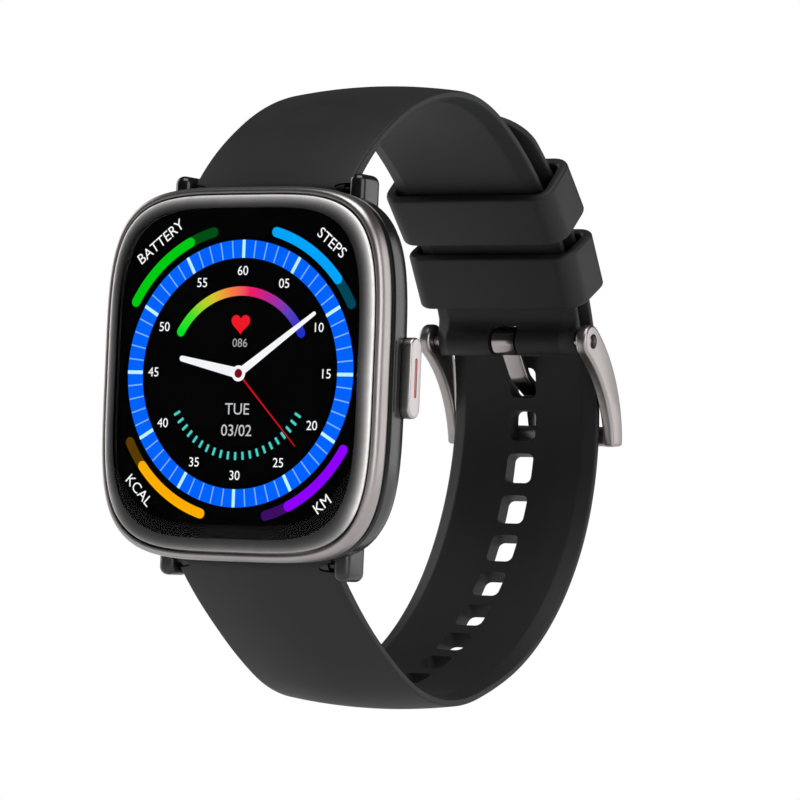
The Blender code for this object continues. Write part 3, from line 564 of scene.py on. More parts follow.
def strap_row(route, distance, half_width, outer, inner):
    """One ring of the strap: a crowned outer face, rounded edges, side walls and a chamfered inner face."""
    point, heading = on_route(route, distance)
    depth = outer - inner
    edge = min(0.28, depth / 5)
    rim = outer - min(CROWN, depth / 3)
    shoulder = inner + 0.3 * depth
    chamfer = min(1.9, half_width / 3)
    reach = half_width - edge
    profile = [(reach * t, outer - (outer - rim) * t * t) for t in np.linspace(-1, 1, 19)]
    profile += [(half_width - edge * (1 - math.sin(a)), rim - edge * (1 - math.cos(a)))
                for a in np.radians((25, 50, 75, 90))]
    profile += [(half_width, shoulder + 0.06), (half_width - 0.06, shoulder - 0.03)]
    rise = 0.3 * depth / chamfer
    bend = [(x, inner + lift) for x, lift in
            ((half_width - 0.3, (chamfer - 0.3) * rise), (half_width - chamfer + 0.3, 0.3 * rise),
             (half_width - chamfer + 0.08, 0.1 * rise), (half_width - chamfer - 0.08, 0.0),
             (half_width - chamfer - 0.3, 0.0))]
    profile += bend + [(0.0, inner)] + [(-x, offset) for x, offset in reversed(bend)]
    profile += [(0.06 - half_width, shoulder - 0.03), (-half_width, shoulder + 0.06)]
    profile += [(-half_width + edge * (1 - math.sin(a)), rim - edge * (1 - math.cos(a)))
                for a in np.radians((90, 75, 50, 25))]
    return [(x, *beside(point, heading, offset)) for x, offset in profile]


def root_rows(length, reverse):
    half = ROOT_THICK / 2
    rows = [(-half * math.cos(a), ROOT_HALF_WIDTH, half * math.sin(a), -half * math.sin(a))
            for a in np.radians((8, 20, 34, 48, 62, 76, 90))]
    return [(length - s, w, o, i) for s, w, o, i in reversed(rows)] if reverse else rows


def loop_place(centre):
    """Put (u, v, w) with u outwards, v up and w across, about a point of the loop."""
    return lambda u, v, w: (w, centre[0] + u, centre[1] + v)


def turned_place(y, z, heading):
    """Turn a tool to a heading of the loop and move it to a point of it."""
    return Matrix.Translation(Vector((0.0, y, z)) * MM) @ Matrix.Rotation(math.radians(heading + 90), 4, "X")


def cross_bore(name, radius, reach, point):
    """A round tool along X, reach to each side of a point of the loop."""
    return turned(name, [(0, radius), (2 * reach, radius)], (-reach, *point), (1, 0, 0), 40)


# Repeated shapes, by Geometry Nodes.

def repeating_tree():
    """Rounded bars, one on each point, turned by the point's own "turn" and made real."""
    tree = bpy.data.node_groups.new("repeated_bars", "GeometryNodeTree")
    sockets = {}
    for label, kind in (("Geometry", "Geometry"), ("Width", "Float"), ("Length", "Float"),
                        ("Corner", "Float"), ("Depth", "Float"), ("Finish", "Material")):
        item = tree.interface.new_socket(name=label, in_out="INPUT", socket_type="NodeSocket" + kind)
        sockets[label] = item.identifier
    tree.interface.new_socket(name="Geometry", in_out="OUTPUT", socket_type="NodeSocketGeometry")

    def node(kind, **settings):
        made = tree.nodes.new(kind)
        for key, value in settings.items():
            setattr(made, key, value)
        return made

    given, result = node("NodeGroupInput"), node("NodeGroupOutput")
    outline = node("GeometryNodeCurvePrimitiveQuadrilateral")
    fillet = node("GeometryNodeFilletCurve", mode="POLY")
    half, minus = (node("ShaderNodeMath", operation="MULTIPLY") for _ in range(2))
    lift, drop = node("ShaderNodeCombineXYZ"), node("ShaderNodeCombineXYZ")
    line = node("GeometryNodeCurvePrimitiveLine")
    solid, points = node("GeometryNodeCurveToMesh"), node("GeometryNodeMeshToPoints")
    turn = node("GeometryNodeInputNamedAttribute", data_type="FLOAT_VECTOR")
    copies = node("GeometryNodeInstanceOnPoints")
    real, dressed = node("GeometryNodeRealizeInstances"), node("GeometryNodeSetMaterial")
    fillet.inputs["Count"].default_value = 6
    fillet.inputs["Limit Radius"].default_value = True
    half.inputs[1].default_value = 0.5
    minus.inputs[1].default_value = -0.5
    turn.inputs["Name"].default_value = "turn"
    solid.inputs["Fill Caps"].default_value = True
    for source, sink in (
            (given.outputs["Width"], outline.inputs["Width"]),
            (given.outputs["Length"], outline.inputs["Height"]),
            (outline.outputs[0], fillet.inputs["Curve"]), (given.outputs["Corner"], fillet.inputs["Radius"]),
            (given.outputs["Depth"], half.inputs[0]), (given.outputs["Depth"], minus.inputs[0]),
            (half.outputs[0], lift.inputs["Z"]), (minus.outputs[0], drop.inputs["Z"]),
            (drop.outputs[0], line.inputs["Start"]), (lift.outputs[0], line.inputs["End"]),
            (line.outputs[0], solid.inputs["Curve"]), (fillet.outputs[0], solid.inputs["Profile Curve"]),
            (given.outputs["Geometry"], points.inputs["Mesh"]), (points.outputs[0], copies.inputs["Points"]),
            (solid.outputs[0], copies.inputs["Instance"]), (turn.outputs[0], copies.inputs["Rotation"]),
            (copies.outputs[0], real.inputs[0]), (real.outputs[0], dressed.inputs["Geometry"]),
            (given.outputs["Finish"], dressed.inputs["Material"]), (dressed.outputs[0], result.inputs[0])):
        tree.links.new(source, sink)
    return tree, sockets


def repeated(name, spots, turns, width, length, corner, depth, material):
    """One plain mesh of rounded bars: a point and an Euler turn for each, sizes in millimetres."""
    mesh = bpy.data.meshes.new(name)
    mesh.from_pydata([Vector(spot) * MM for spot in spots], [], [])
    attribute = mesh.attributes.new("turn", "FLOAT_VECTOR", "POINT")
    for item, turn in zip(attribute.data, turns):
        item.vector = turn
    obj = bpy.data.objects.new(name, mesh)
    bpy.context.scene.collection.objects.link(obj)
    tree, sockets = repeating_tree()
    modifier = obj.modifiers.new("repeat", "NODES")
    modifier.node_group = tree
    for label, value in (("Width", width), ("Length", length), ("Corner", corner), ("Depth", depth)):
        modifier[sockets[label]] = value * MM
    modifier[sockets["Finish"]] = material
    bpy.context.view_layer.update()
    made = obj.evaluated_get(bpy.context.evaluated_depsgraph_get())
    plain = bpy.data.meshes.new_from_object(made)
    obj.modifiers.clear()
    bm = bmesh.new()
    bm.from_mesh(plain)
    bpy.data.objects.remove(obj, do_unlink=True)
    return finished(name, bm)


# User settings.

def length_setting(label, text, value):
    return FloatProperty(name=label, description=text, default=value, unit="LENGTH")


def colour_setting(label, text, value):
    return FloatVectorProperty(name=label, description=text, default=value, subtype="COLOR", size=3,
                               min=0.0, max=1.0)


class WatchSizes(bpy.types.PropertyGroup):
    """Sizes, in metres, that change how the finished pieces look."""
    dial_radius: length_setting("Dial Radius", "Outer radius of the minute ring", 0.0156)
    glass_band: length_setting("Glass Band", "Width of the curved band round the glass", 0.0015)
    edge_round: length_setting("Edge Rounding", "Rounding on keepers and buckle", 0.00045)
    hole_corner: length_setting("Hole Corner", "Corner radius of the adjusting holes", 0.0008)
    minute_lines: IntProperty(name="Minute Lines", description="Lines round the minute ring", default=60)


class WatchColours(bpy.types.PropertyGroup):
    """Colours of the finishes, as linear red, green and blue."""
    silicone: colour_setting("Silicone", "Strap and keepers", (0.008, 0.008, 0.009))
    gunmetal: colour_setting("Gunmetal", "Coated bezel and buckle", (0.34, 0.315, 0.31))
    case: colour_setting("Case", "Mid case, lugs and rear cover", (0.006, 0.006, 0.0065))
    steel: colour_setting("Steel", "Button, pin and screws", (0.4, 0.385, 0.38))
    accent: colour_setting("Accent", "Line on the button", (0.38, 0.012, 0.014))
    ring: colour_setting("Minute Ring", "Lit ring on the dial", (0.0, 0.125, 1.0))


MADE = {}


def sizes():
    return bpy.context.scene.watch_sizes


def colours():
    return bpy.context.scene.watch_colours


def finish_of(name, maker, *values, **more):
    """Each finish is made once and shared."""
    if name not in MADE:
        MADE[name] = maker(*values, **more)
    return MADE[name]


def silicone():
    return finish_of("silicone", silicone_finish, tuple(colours().silicone))


def gunmetal():
    return finish_of("gunmetal", gunmetal_finish, "gunmetal", tuple(colours().gunmetal), 0.36)


def case_black():
    return finish_of("case_black", gloss_finish, "case_black", tuple(colours().case), 0.24)


def steel_bare():
    colour = tuple(colours().steel)
    return finish_of("stainless", brushed_finish, "stainless", colour, 0.25, grain=(20.0, 1.0, 1.0))


# The head.

def grown(half, wall):
    return half[0] + wall, half[1] + wall


def band_y(inset):
    """Depth of the glass's front at a distance in from its rim."""
    reach = 1 - min(inset / 3.2, 1.0)
    return GLASS_FRONT_Y + 0.8 * (1 - math.sqrt(max(1 - reach * reach, 0.0)))


class WATCH_OT_glass(bpy.types.Operator):
    """Curved glass: an inked band with a painted reflection round a clear window, over the black display"""
    bl_idname = "watch.glass"
    bl_label = "Glass"

    def execute(self, context):
        band = sizes().glass_band / MM
        insets = np.concatenate((np.linspace(band, 0.5, 9), np.linspace(0.4, 0.0, 8)))
        front = [(band_y(inset), inset) for inset in insets]
        stations = front + [(-10.05, 0.0), (-9.9, 0.02), (GLASS_BACK_Y, 0.1), (GLASS_BACK_Y, band)]
        edge = skin("glass_edge_painted_reflection", [head_ring(GLASS_HALF, y, inset) for y, inset in stations], loop=True)
        # rim: each point's depth in from the glass's edge, which sets how much painted reflection it shows.
        mark = edge.data.attributes.new("rim", "FLOAT", "POINT")
        power = CORNER_POWER
        for item, vertex in zip(mark.data, edge.data.vertices):
            x, z = abs(vertex.co.x) / MM, abs(vertex.co.z) / MM
            share = ((x / GLASS_HALF[0]) ** power + (z / GLASS_HALF[1]) ** power) ** (1 / power)
            item.value = (1 - share) * math.hypot(x, z) / 1.45
            # The painted reflection is dimmer along the bottom edge.
            if vertex.co.z < 0:
                item.value += 0.3 * eased((z - 15.0) / 4.0)
        fitted(edge, "case", finish_of("glass_edge_painted_reflection", glass_edge_finish), "cover_glass")
        insets = (3.8, 3.5, 3.2, 2.9, 2.6, 2.3, 2.0, 1.75, band + 0.01)
        rows = [head_ring(GLASS_HALF, band_y(inset), inset) for inset in insets]
        pane = skin("front_glass", rows + [head_ring(GLASS_HALF, -10.2, band + 0.01)])
        fitted(pane, "case", finish_of("clear_glass", glass_finish), "cover_glass", "cover_glass")
        stations = ((-9.56, 0), (-9.68, 0), (-9.70, 0.02))
        face = skin("display_face", [head_ring(DISPLAY_HALF, y, inset) for y, inset in stations])
        ink = (0.0006, 0.0006, 0.0007)
        black = finish_of("display_black", gloss_finish, "display_black", ink, 0.5, shine=0.02)
        fitted(face, "case", black, "display")
        return {"FINISHED"}


class WATCH_OT_case(bpy.types.Operator):
    """Bezel, mid case with its lugs, rear cover and sensor window"""
    bl_idname = "watch.case"
    bl_label = "Case"

    def execute(self, context):
        self.bezel()
        self.mid_case()
        self.back()
        return {"FINISHED"}

    def bezel(self):
        pillow = np.radians(np.linspace(90, 0, 12))
        outer = [(-9.0 - 1.1 * math.sin(a), 0.62 * (1 - math.cos(a))) for a in pillow]
        outer += [(-8.6, 0.0), (-8.2, 0.0), (-7.95, 0.02), (-7.8, 0.08), (BEZEL_BACK_Y, 0.22)]
        rows = [head_ring(BEZEL_HALF, y, inset) for y, inset in outer]
        seat = grown(GLASS_HALF, GLASS_GAP)
        spigot = grown(CAVITY_HALF, BEZEL_WALL)
        rows += [head_ring(spigot, BEZEL_BACK_Y), head_ring(spigot, BEZEL_LEDGE_BACK_Y),
                 head_ring(CAVITY_HALF, BEZEL_LEDGE_BACK_Y), head_ring(CAVITY_HALF, BEZEL_LEDGE_FRONT_Y),
                 head_ring(seat, BEZEL_LEDGE_FRONT_Y), head_ring(seat, -9.98), head_ring(seat, -10.07, -0.03)]
        fitted(skin("bezel", rows, loop=True), "case", gunmetal(), "gunmetal_pvd", "bezel_frame")

    def mid_case(self):
        outer = [(CASE_FRONT_Y, 0.62), (-6.98, 0.55), (-6.88, 0.3), (-6.8, 0.12), (-6.7, 0.05), (-5.6, 0.05),
                 (-4.8, 0.09), (-4.2, 0.2), (-3.6, 0.45), (-3.1, 0.74), (-2.6, 1.14), (-2.1, 1.62),
                 (-1.65, 2.2), (-1.3, 2.78), (-1.05, 3.3), (-0.92, 3.62), (-0.9, 3.8)]
        rows = [head_ring(BEZEL_HALF, y, inset) for y, inset in outer]
        seat = grown(COVER_HALF, COVER_GAP)
        spigot = grown(CAVITY_HALF, SPIGOT_WALL)
        rows += [head_ring(seat, COVER_BACK_Y), head_ring(seat, LEDGE_BACK_Y),
                 head_ring(LEDGE_HALF, LEDGE_BACK_Y), head_ring(LEDGE_HALF, LEDGE_FRONT_Y),
                 head_ring(CAVITY_HALF, LEDGE_FRONT_Y),
                 head_ring(CAVITY_HALF, SPIGOT_FRONT_Y), head_ring(spigot, SPIGOT_FRONT_Y),
                 head_ring(spigot, CASE_FRONT_Y)]
        case = skin("mid_case", rows, loop=True)
        lugs = []
        for side in (1, -1):
            for end in (1, -1):
                x, z = side * LUG_X, end * (BAR[1] + LUG_PAST_BAR - LUG_HALF[1])
                low = (x - LUG_HALF[0], LUG_FRONT_Y, z - LUG_HALF[1])
                high = (x + LUG_HALF[0], LUG_BACK_Y, z + LUG_HALF[1])
                lugs.append(("UNION", block("lug", low, high, 1.0, 6)))
        cuts = []
        for y, z in (BAR, LOWER_BAR):
            reach = [(0.0, ROOT_THICK / 2 + 0.3), (22.2, ROOT_THICK / 2 + 0.3)]
            cuts.append(("DIFFERENCE", turned("channel", reach, (-11.1, y, z), (1, 0, 0), 48)))
            socket = turned("bore", [(0, 0.5), (25.4, 0.5)], (-12.7, y, z), (1, 0, 0), 24)
            cuts.append(("DIFFERENCE", socket))
        button = span("button_cap")
        middle = (button[0][1] + button[1][1]) / 2
        along = lambda u, v, w: (w, middle + u, v)
        pocket = pill(button[1][2] + 0.2, (button[1][1] - button[0][1]) / 2 + 0.2)
        cuts.append(("DIFFERENCE", prism("pocket", pocket, 17.7, 21.7, along)))
        slot = pill(1.0, 0.35)
        cuts.append(("DIFFERENCE", prism("slot", slot, 17.6, 21.5, lambda u, v, w: (w, middle + u, v + 8.4))))
        case = carved(case, lugs + cuts)
        fitted(case, "case", case_black(), "black_case", "case_frame")

    def back(self):
        stations = ((COVER_FRONT_Y, 0.0), (COVER_BACK_Y - 0.3, 0.0), (COVER_BACK_Y - 0.1, 0.07),
                    (COVER_BACK_Y - 0.02, 0.18), (COVER_BACK_Y, 0.3), (COVER_BACK_Y, 0.6))
        cover = skin("back_cover", [head_ring(COVER_HALF, y, inset) for y, inset in stations])
        tools = [turned("well", [(0, 6.5), (4, 6.5)], (0, -3.5, 0), (0, 1, 0), 96)]
        for x, z in CONTACT_PLACES:
            tools.append(turned("contact", [(0, 1.1), (4, 1.1)], (x, -3.5, z), (0, 1, 0), 32))
        for x, z in SCREW_PLACES:
            tools.append(turned("head", [(0, 1.3), (2, 1.3)], (x, -1.5, z), (0, 1, 0), 32))
            tools.append(turned("shank", [(0, 0.8), (3, 0.8)], (x, -3.5, z), (0, 1, 0), 24))
        cover = carved(cover, [("DIFFERENCE", tool) for tool in tools])
        fitted(cover, "case", case_black(), "black_case", "rear_cover")
        rim = [(LENS_ROUND * (math.sin(a) - 1), LENS_RADIUS - LENS_ROUND * (1 - math.cos(a)))
               for a in np.radians(np.linspace(0, 90, 8))]
        profile = [(-1.7, 6.2), (-0.6, 6.2), (-0.6, LENS_RADIUS), *rim, (0.0, 4.0)]
        lens = turned("sensor_window", profile, (0, 0, 0), (0, 1, 0), 128)
        tint = (0.004, 0.004, 0.006)
        glassy = finish_of("sensor_glass", gloss_finish, "sensor_glass", tint, 0.08, coat=0.8)
        fitted(lens, "case", glassy, "sensor_window", "sensor_lens")


class WATCH_OT_button(bpy.types.Operator):
    """Side button with its inlaid line"""
    bl_idname = "watch.button"
    bl_label = "Button"

    def execute(self, context):
        low, high = span("button_cap")
        middle = (low[1] + high[1]) / 2
        along = lambda u, v, w: (w, middle + u, v)
        outline = pill(high[2], (high[1] - low[1]) / 2)
        cap = prism("side_button", outline, low[0], high[0], along, 0.3, segments=6)
        groove = prism("groove", pill(2.3, 0.27), high[0] - 0.3, high[0] + 1, along)
        cap = carved(cap, [("DIFFERENCE", groove)])
        steel = finish_of("satin_steel", brushed_finish, "satin_steel", tuple(colours().steel), 0.3)
        fitted(cap, "button", steel, "satin_steel", "button_cap")
        line = prism("button_line", pill(2.22, 0.2), high[0] - 0.22, high[0] - 0.02, along, 0.04)
        accent = tuple(colours().accent)
        red = finish_of("red_lacquer", gloss_finish, "red_lacquer", accent, 0.35, coat=0.3)
        fitted(line, "button", red, "red_lacquer", "button_accent")
        return {"FINISHED"}


# The strap.

class WATCH_OT_straps(bpy.types.Operator):
    """Both halves of the strap, with the adjusting holes punched through the long one"""
    bl_idname = "watch.straps"
    bl_label = "Straps"

    def execute(self, context):
        self.short_half()
        self.long_half()
        return {"FINISHED"}

    def short_half(self):
        length = route_length(UPPER_ROUTE)
        sections = root_rows(length, False)
        for s in np.linspace(0.6, length - 2.8, 100):
            half = thickness_at(s) / 2
            width = ROOT_HALF_WIDTH + (CLASP_HALF_WIDTH - ROOT_HALF_WIDTH) * s / length
            sections.append((s, width, half, -half))
        half = STRAP_THICK / 2
        centre = half - KNUCKLE_RADIUS
        for angle in (155, 145, 135, 125, 115, 105, 97, 90, 80, 70, 58, 46, 34, 22, 10):
            a = math.radians(angle)
            rise = KNUCKLE_RADIUS * math.sin(a)
            top = half if angle > 90 else centre + rise
            sections.append((length + KNUCKLE_RADIUS * math.cos(a), CLASP_HALF_WIDTH, top, centre - rise))
        strap = skin("short_strap", [strap_row(UPPER_ROUTE, *section) for section in sections], sharp=50)
        y, z = BUCKLE_AXIS
        reach = SLEEVE_HALF + 0.35
        slot = block("slot", (-reach, -3.4, -6.0), (reach, 4.6, 2.12), 0.25, 3)
        turn = turned_place(y, z, CLASP_HEADING)
        slot.data.transform(turn)
        recess = block("recess", (-7.2, -3.0, 2.3), (7.2, -1.42, 5.6), 0.5, 4)
        recess.data.transform(turn)
        tools = [cross_bore("root", ROOT_BORE, 12, BAR), cross_bore("pin", PIN_BORE, 12, BUCKLE_AXIS),
                 slot, recess]
        strap = carved(strap, [("DIFFERENCE", tool) for tool in tools], 50)
        fitted(strap, "strap", silicone(), "black_silicone", "upper_strap")

    def long_half(self):
        length = route_length(LOWER_ROUTE)
        half = STRAP_THICK / 2
        sections = []
        for s in (0.0, 0.05, 0.15, 0.35, 0.7, 1.1, 1.6, 2.2, 2.9, 3.7, 4.6, 5.4, TAIL_CORNER):
            across = 1 - s / TAIL_CORNER
            width = TAIL_HALF_WIDTH - TAIL_CORNER * (1 - math.sqrt(max(1 - across * across, 0.0)))
            thin = 0.6 + 0.4 * math.sqrt(min(s / 0.35, 1.0))
            sections.append((s, width, half * thin, -half * thin))
        for s in np.linspace(TAIL_CORNER + 0.6, length - 0.001, 230):
            start, end = TAPER_FROM_BAR
            share = eased((length - s - start) / (end - start))
            thick = thickness_at(length - s) / 2
            width = ROOT_HALF_WIDTH + (TAIL_HALF_WIDTH - ROOT_HALF_WIDTH) * share
            sections.append((s, width, thick, -thick))
        sections += root_rows(length, True)[1:]
        strap = skin("long_strap", [strap_row(LOWER_ROUTE, *section) for section in sections], sharp=50)
        spots, turns = [], []
        for index in range(HOLE_COUNT):
            (y, z), heading = on_route(LOWER_ROUTE, FIRST_HOLE_AT + HOLE_PITCH * index)
            spots.append((0.0, y, z))
            turns.append((math.radians(heading), 0.0, 0.0))
        corner = sizes().hole_corner / MM
        width, height = 2 * HOLE_HALF[0], 2 * HOLE_HALF[1]
        punches = repeated("punches", spots, turns, width, height, corner, 6.0, silicone())
        root = cross_bore("root", ROOT_BORE, 12, LOWER_BAR)
        strap = carved(strap, [("DIFFERENCE", punches), ("DIFFERENCE", root)], 50)
        fitted(strap, None, silicone(), "black_silicone")
        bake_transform(strap)
        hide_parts("lower_strap")


class WATCH_OT_keepers(bpy.types.Operator):
    """Two moulded loops round both layers of the strap"""
    bl_idname = "watch.keepers"
    bl_label = "Keepers"

    def execute(self, context):
        inside = LAYER_RADIUS - STRAP_THICK / 2 - 0.3, TAIL_RADIUS + STRAP_THICK / 2 + 0.6
        middle, half_depth = sum(inside) / 2, (inside[1] - inside[0]) / 2
        half_width = TAIL_HALF_WIDTH + 0.4
        opening = rounded_rectangle(half_width, half_depth, 1.0)
        body = rounded_rectangle(half_width + KEEPER_WALL, half_depth + KEEPER_WALL, 2.6)
        for node, (rider, angle) in KEEPERS.items():
            c, s = math.cos(math.radians(angle)), math.sin(math.radians(angle))

            def place(u, v, w):
                y = middle + v
                return u, LAYER_CENTRE[0] + y * c - w * s, LAYER_CENTRE[1] + y * s + w * c

            loop = prism("loop_" + rider, body, -KEEPER_LENGTH / 2, KEEPER_LENGTH / 2, place,
                         sizes().edge_round / MM, opening, 5)
            fitted(loop, rider, silicone(), "black_silicone", node)
        return {"FINISHED"}


class WATCH_OT_buckle(bpy.types.Operator):
    """Buckle frame, tongue and pin"""
    bl_idname = "watch.buckle"
    bl_label = "Buckle"

    def execute(self, context):
        place = loop_place(BUCKLE_AXIS)
        soft = sizes().edge_round / MM
        left, right = [], []
        for t in np.linspace(0, 1, 17):
            point, heading = arc_end((0.0, 0.0), ARM_HEADING, ARM_RADIUS, ARM_SWEEP * t)
            half = ARM_HEAD_HALF + (ARM_FOOT_HALF - ARM_HEAD_HALF) * t
            left.append(beside(point, heading, half))
            right.append(beside(point, heading, -half))
        round_the_pin = np.radians(ARM_HEADING - 90 - 180 * np.arange(1, 24) / 24)
        head = [(ARM_HEAD_HALF * math.cos(a), ARM_HEAD_HALF * math.sin(a)) for a in round_the_pin]
        outline = left + right[::-1] + head
        arms = [prism("arm", outline, low, high, place, soft, segments=5)
                for low, high in ((ARM_INNER_X, ARM_OUTER_X), (-ARM_OUTER_X, -ARM_INNER_X))]
        (u, v), heading = arc_end((0.0, 0.0), ARM_HEADING, ARM_RADIUS, ARM_SWEEP)
        u, v = u + 0.4, v + 1.3
        bar = block("crossbar", (-11.6, -1.15, -1.25), (11.6, 1.15, 1.25), 0.7, 6)
        y, z = BUCKLE_AXIS
        bar.data.transform(turned_place(y + u, z + v, heading))
        notch = block("notch", (-1.6, y + u - 0.6, z + v - 3), (1.6, y + u + 2.4, z + v + 3), 0.2, 2)
        bore = cross_bore("bore", PIN_BORE, 15, BUCKLE_AXIS)
        tools = [("UNION", bar), ("UNION", arms[1]), ("DIFFERENCE", notch), ("DIFFERENCE", bore)]
        buckle = carved(arms[0], tools)
        fitted(buckle, "buckle", gunmetal(), "gunmetal_pvd", "buckle_frame")
        self.tongue(place)
        ends = [(-11.95, 0.5), (-11.85, 0.68), (-11.7, PIN_RADIUS),
                (11.7, PIN_RADIUS), (11.85, 0.68), (11.95, 0.5)]
        pin = turned("strap_pin", ends, (0, y, z), (1, 0, 0), 48)
        fitted(pin, "strap", steel_bare(), "stainless", "buckle_pin")
        return {"FINISHED"}

    def tongue(self, place):
        """A rolled sleeve and a blade that goes in through the hole and out over the crossbar."""
        route, heading = [], -52.3
        a = math.radians(heading)
        for reach in (1.2, 3.0, 5.0):
            route.append(((reach * math.cos(a), reach * math.sin(a)), heading))
        point = route[-1][0]
        for radius, sweep, straight in ((3.0, -25.0, 2.7), (3.4, 60.5, 4.0)):
            for i in range(1, 13):
                end, turned_to = arc_end(point, heading, math.copysign(radius, sweep), sweep * i / 12)
                route.append((end, turned_to))
            point, heading = route[-1]
            a = math.radians(heading)
            point = point[0] + straight * math.cos(a), point[1] + straight * math.sin(a)
            route.append((point, heading))
        rows = []
        for index, (point, heading) in enumerate(route):
            thin = 0.6 if index == len(route) - 1 else 1.0
            section = rounded_rectangle(1.35 * thin, 0.5 * thin, 0.22 * thin, 4)
            rows.append([place(*beside(point, heading, offset), x) for x, offset in section])
        blade = skin("blade", rows, sharp=60)
        y, z = BUCKLE_AXIS
        sleeve = [(-SLEEVE_HALF, 1.6), (-SLEEVE_HALF + 0.07, 1.78), (-SLEEVE_HALF + 0.25, 1.85),
                  (SLEEVE_HALF - 0.25, 1.85), (SLEEVE_HALF - 0.07, 1.78), (SLEEVE_HALF, 1.6)]
        tongue = turned("tongue", sleeve, (0, y, z), (1, 0, 0), 64)
        bore = cross_bore("bore", PIN_BORE, 3, BUCKLE_AXIS)
        tongue = carved(tongue, [("UNION", blade), ("DIFFERENCE", bore)])
        colour = tuple(colours().gunmetal)
        polished = finish_of("polished_gunmetal", gunmetal_finish, "polished_gunmetal", colour, 0.2)
        fitted(tongue, "tongue", polished, "gunmetal_pvd", "buckle_tongue")


# The dial.

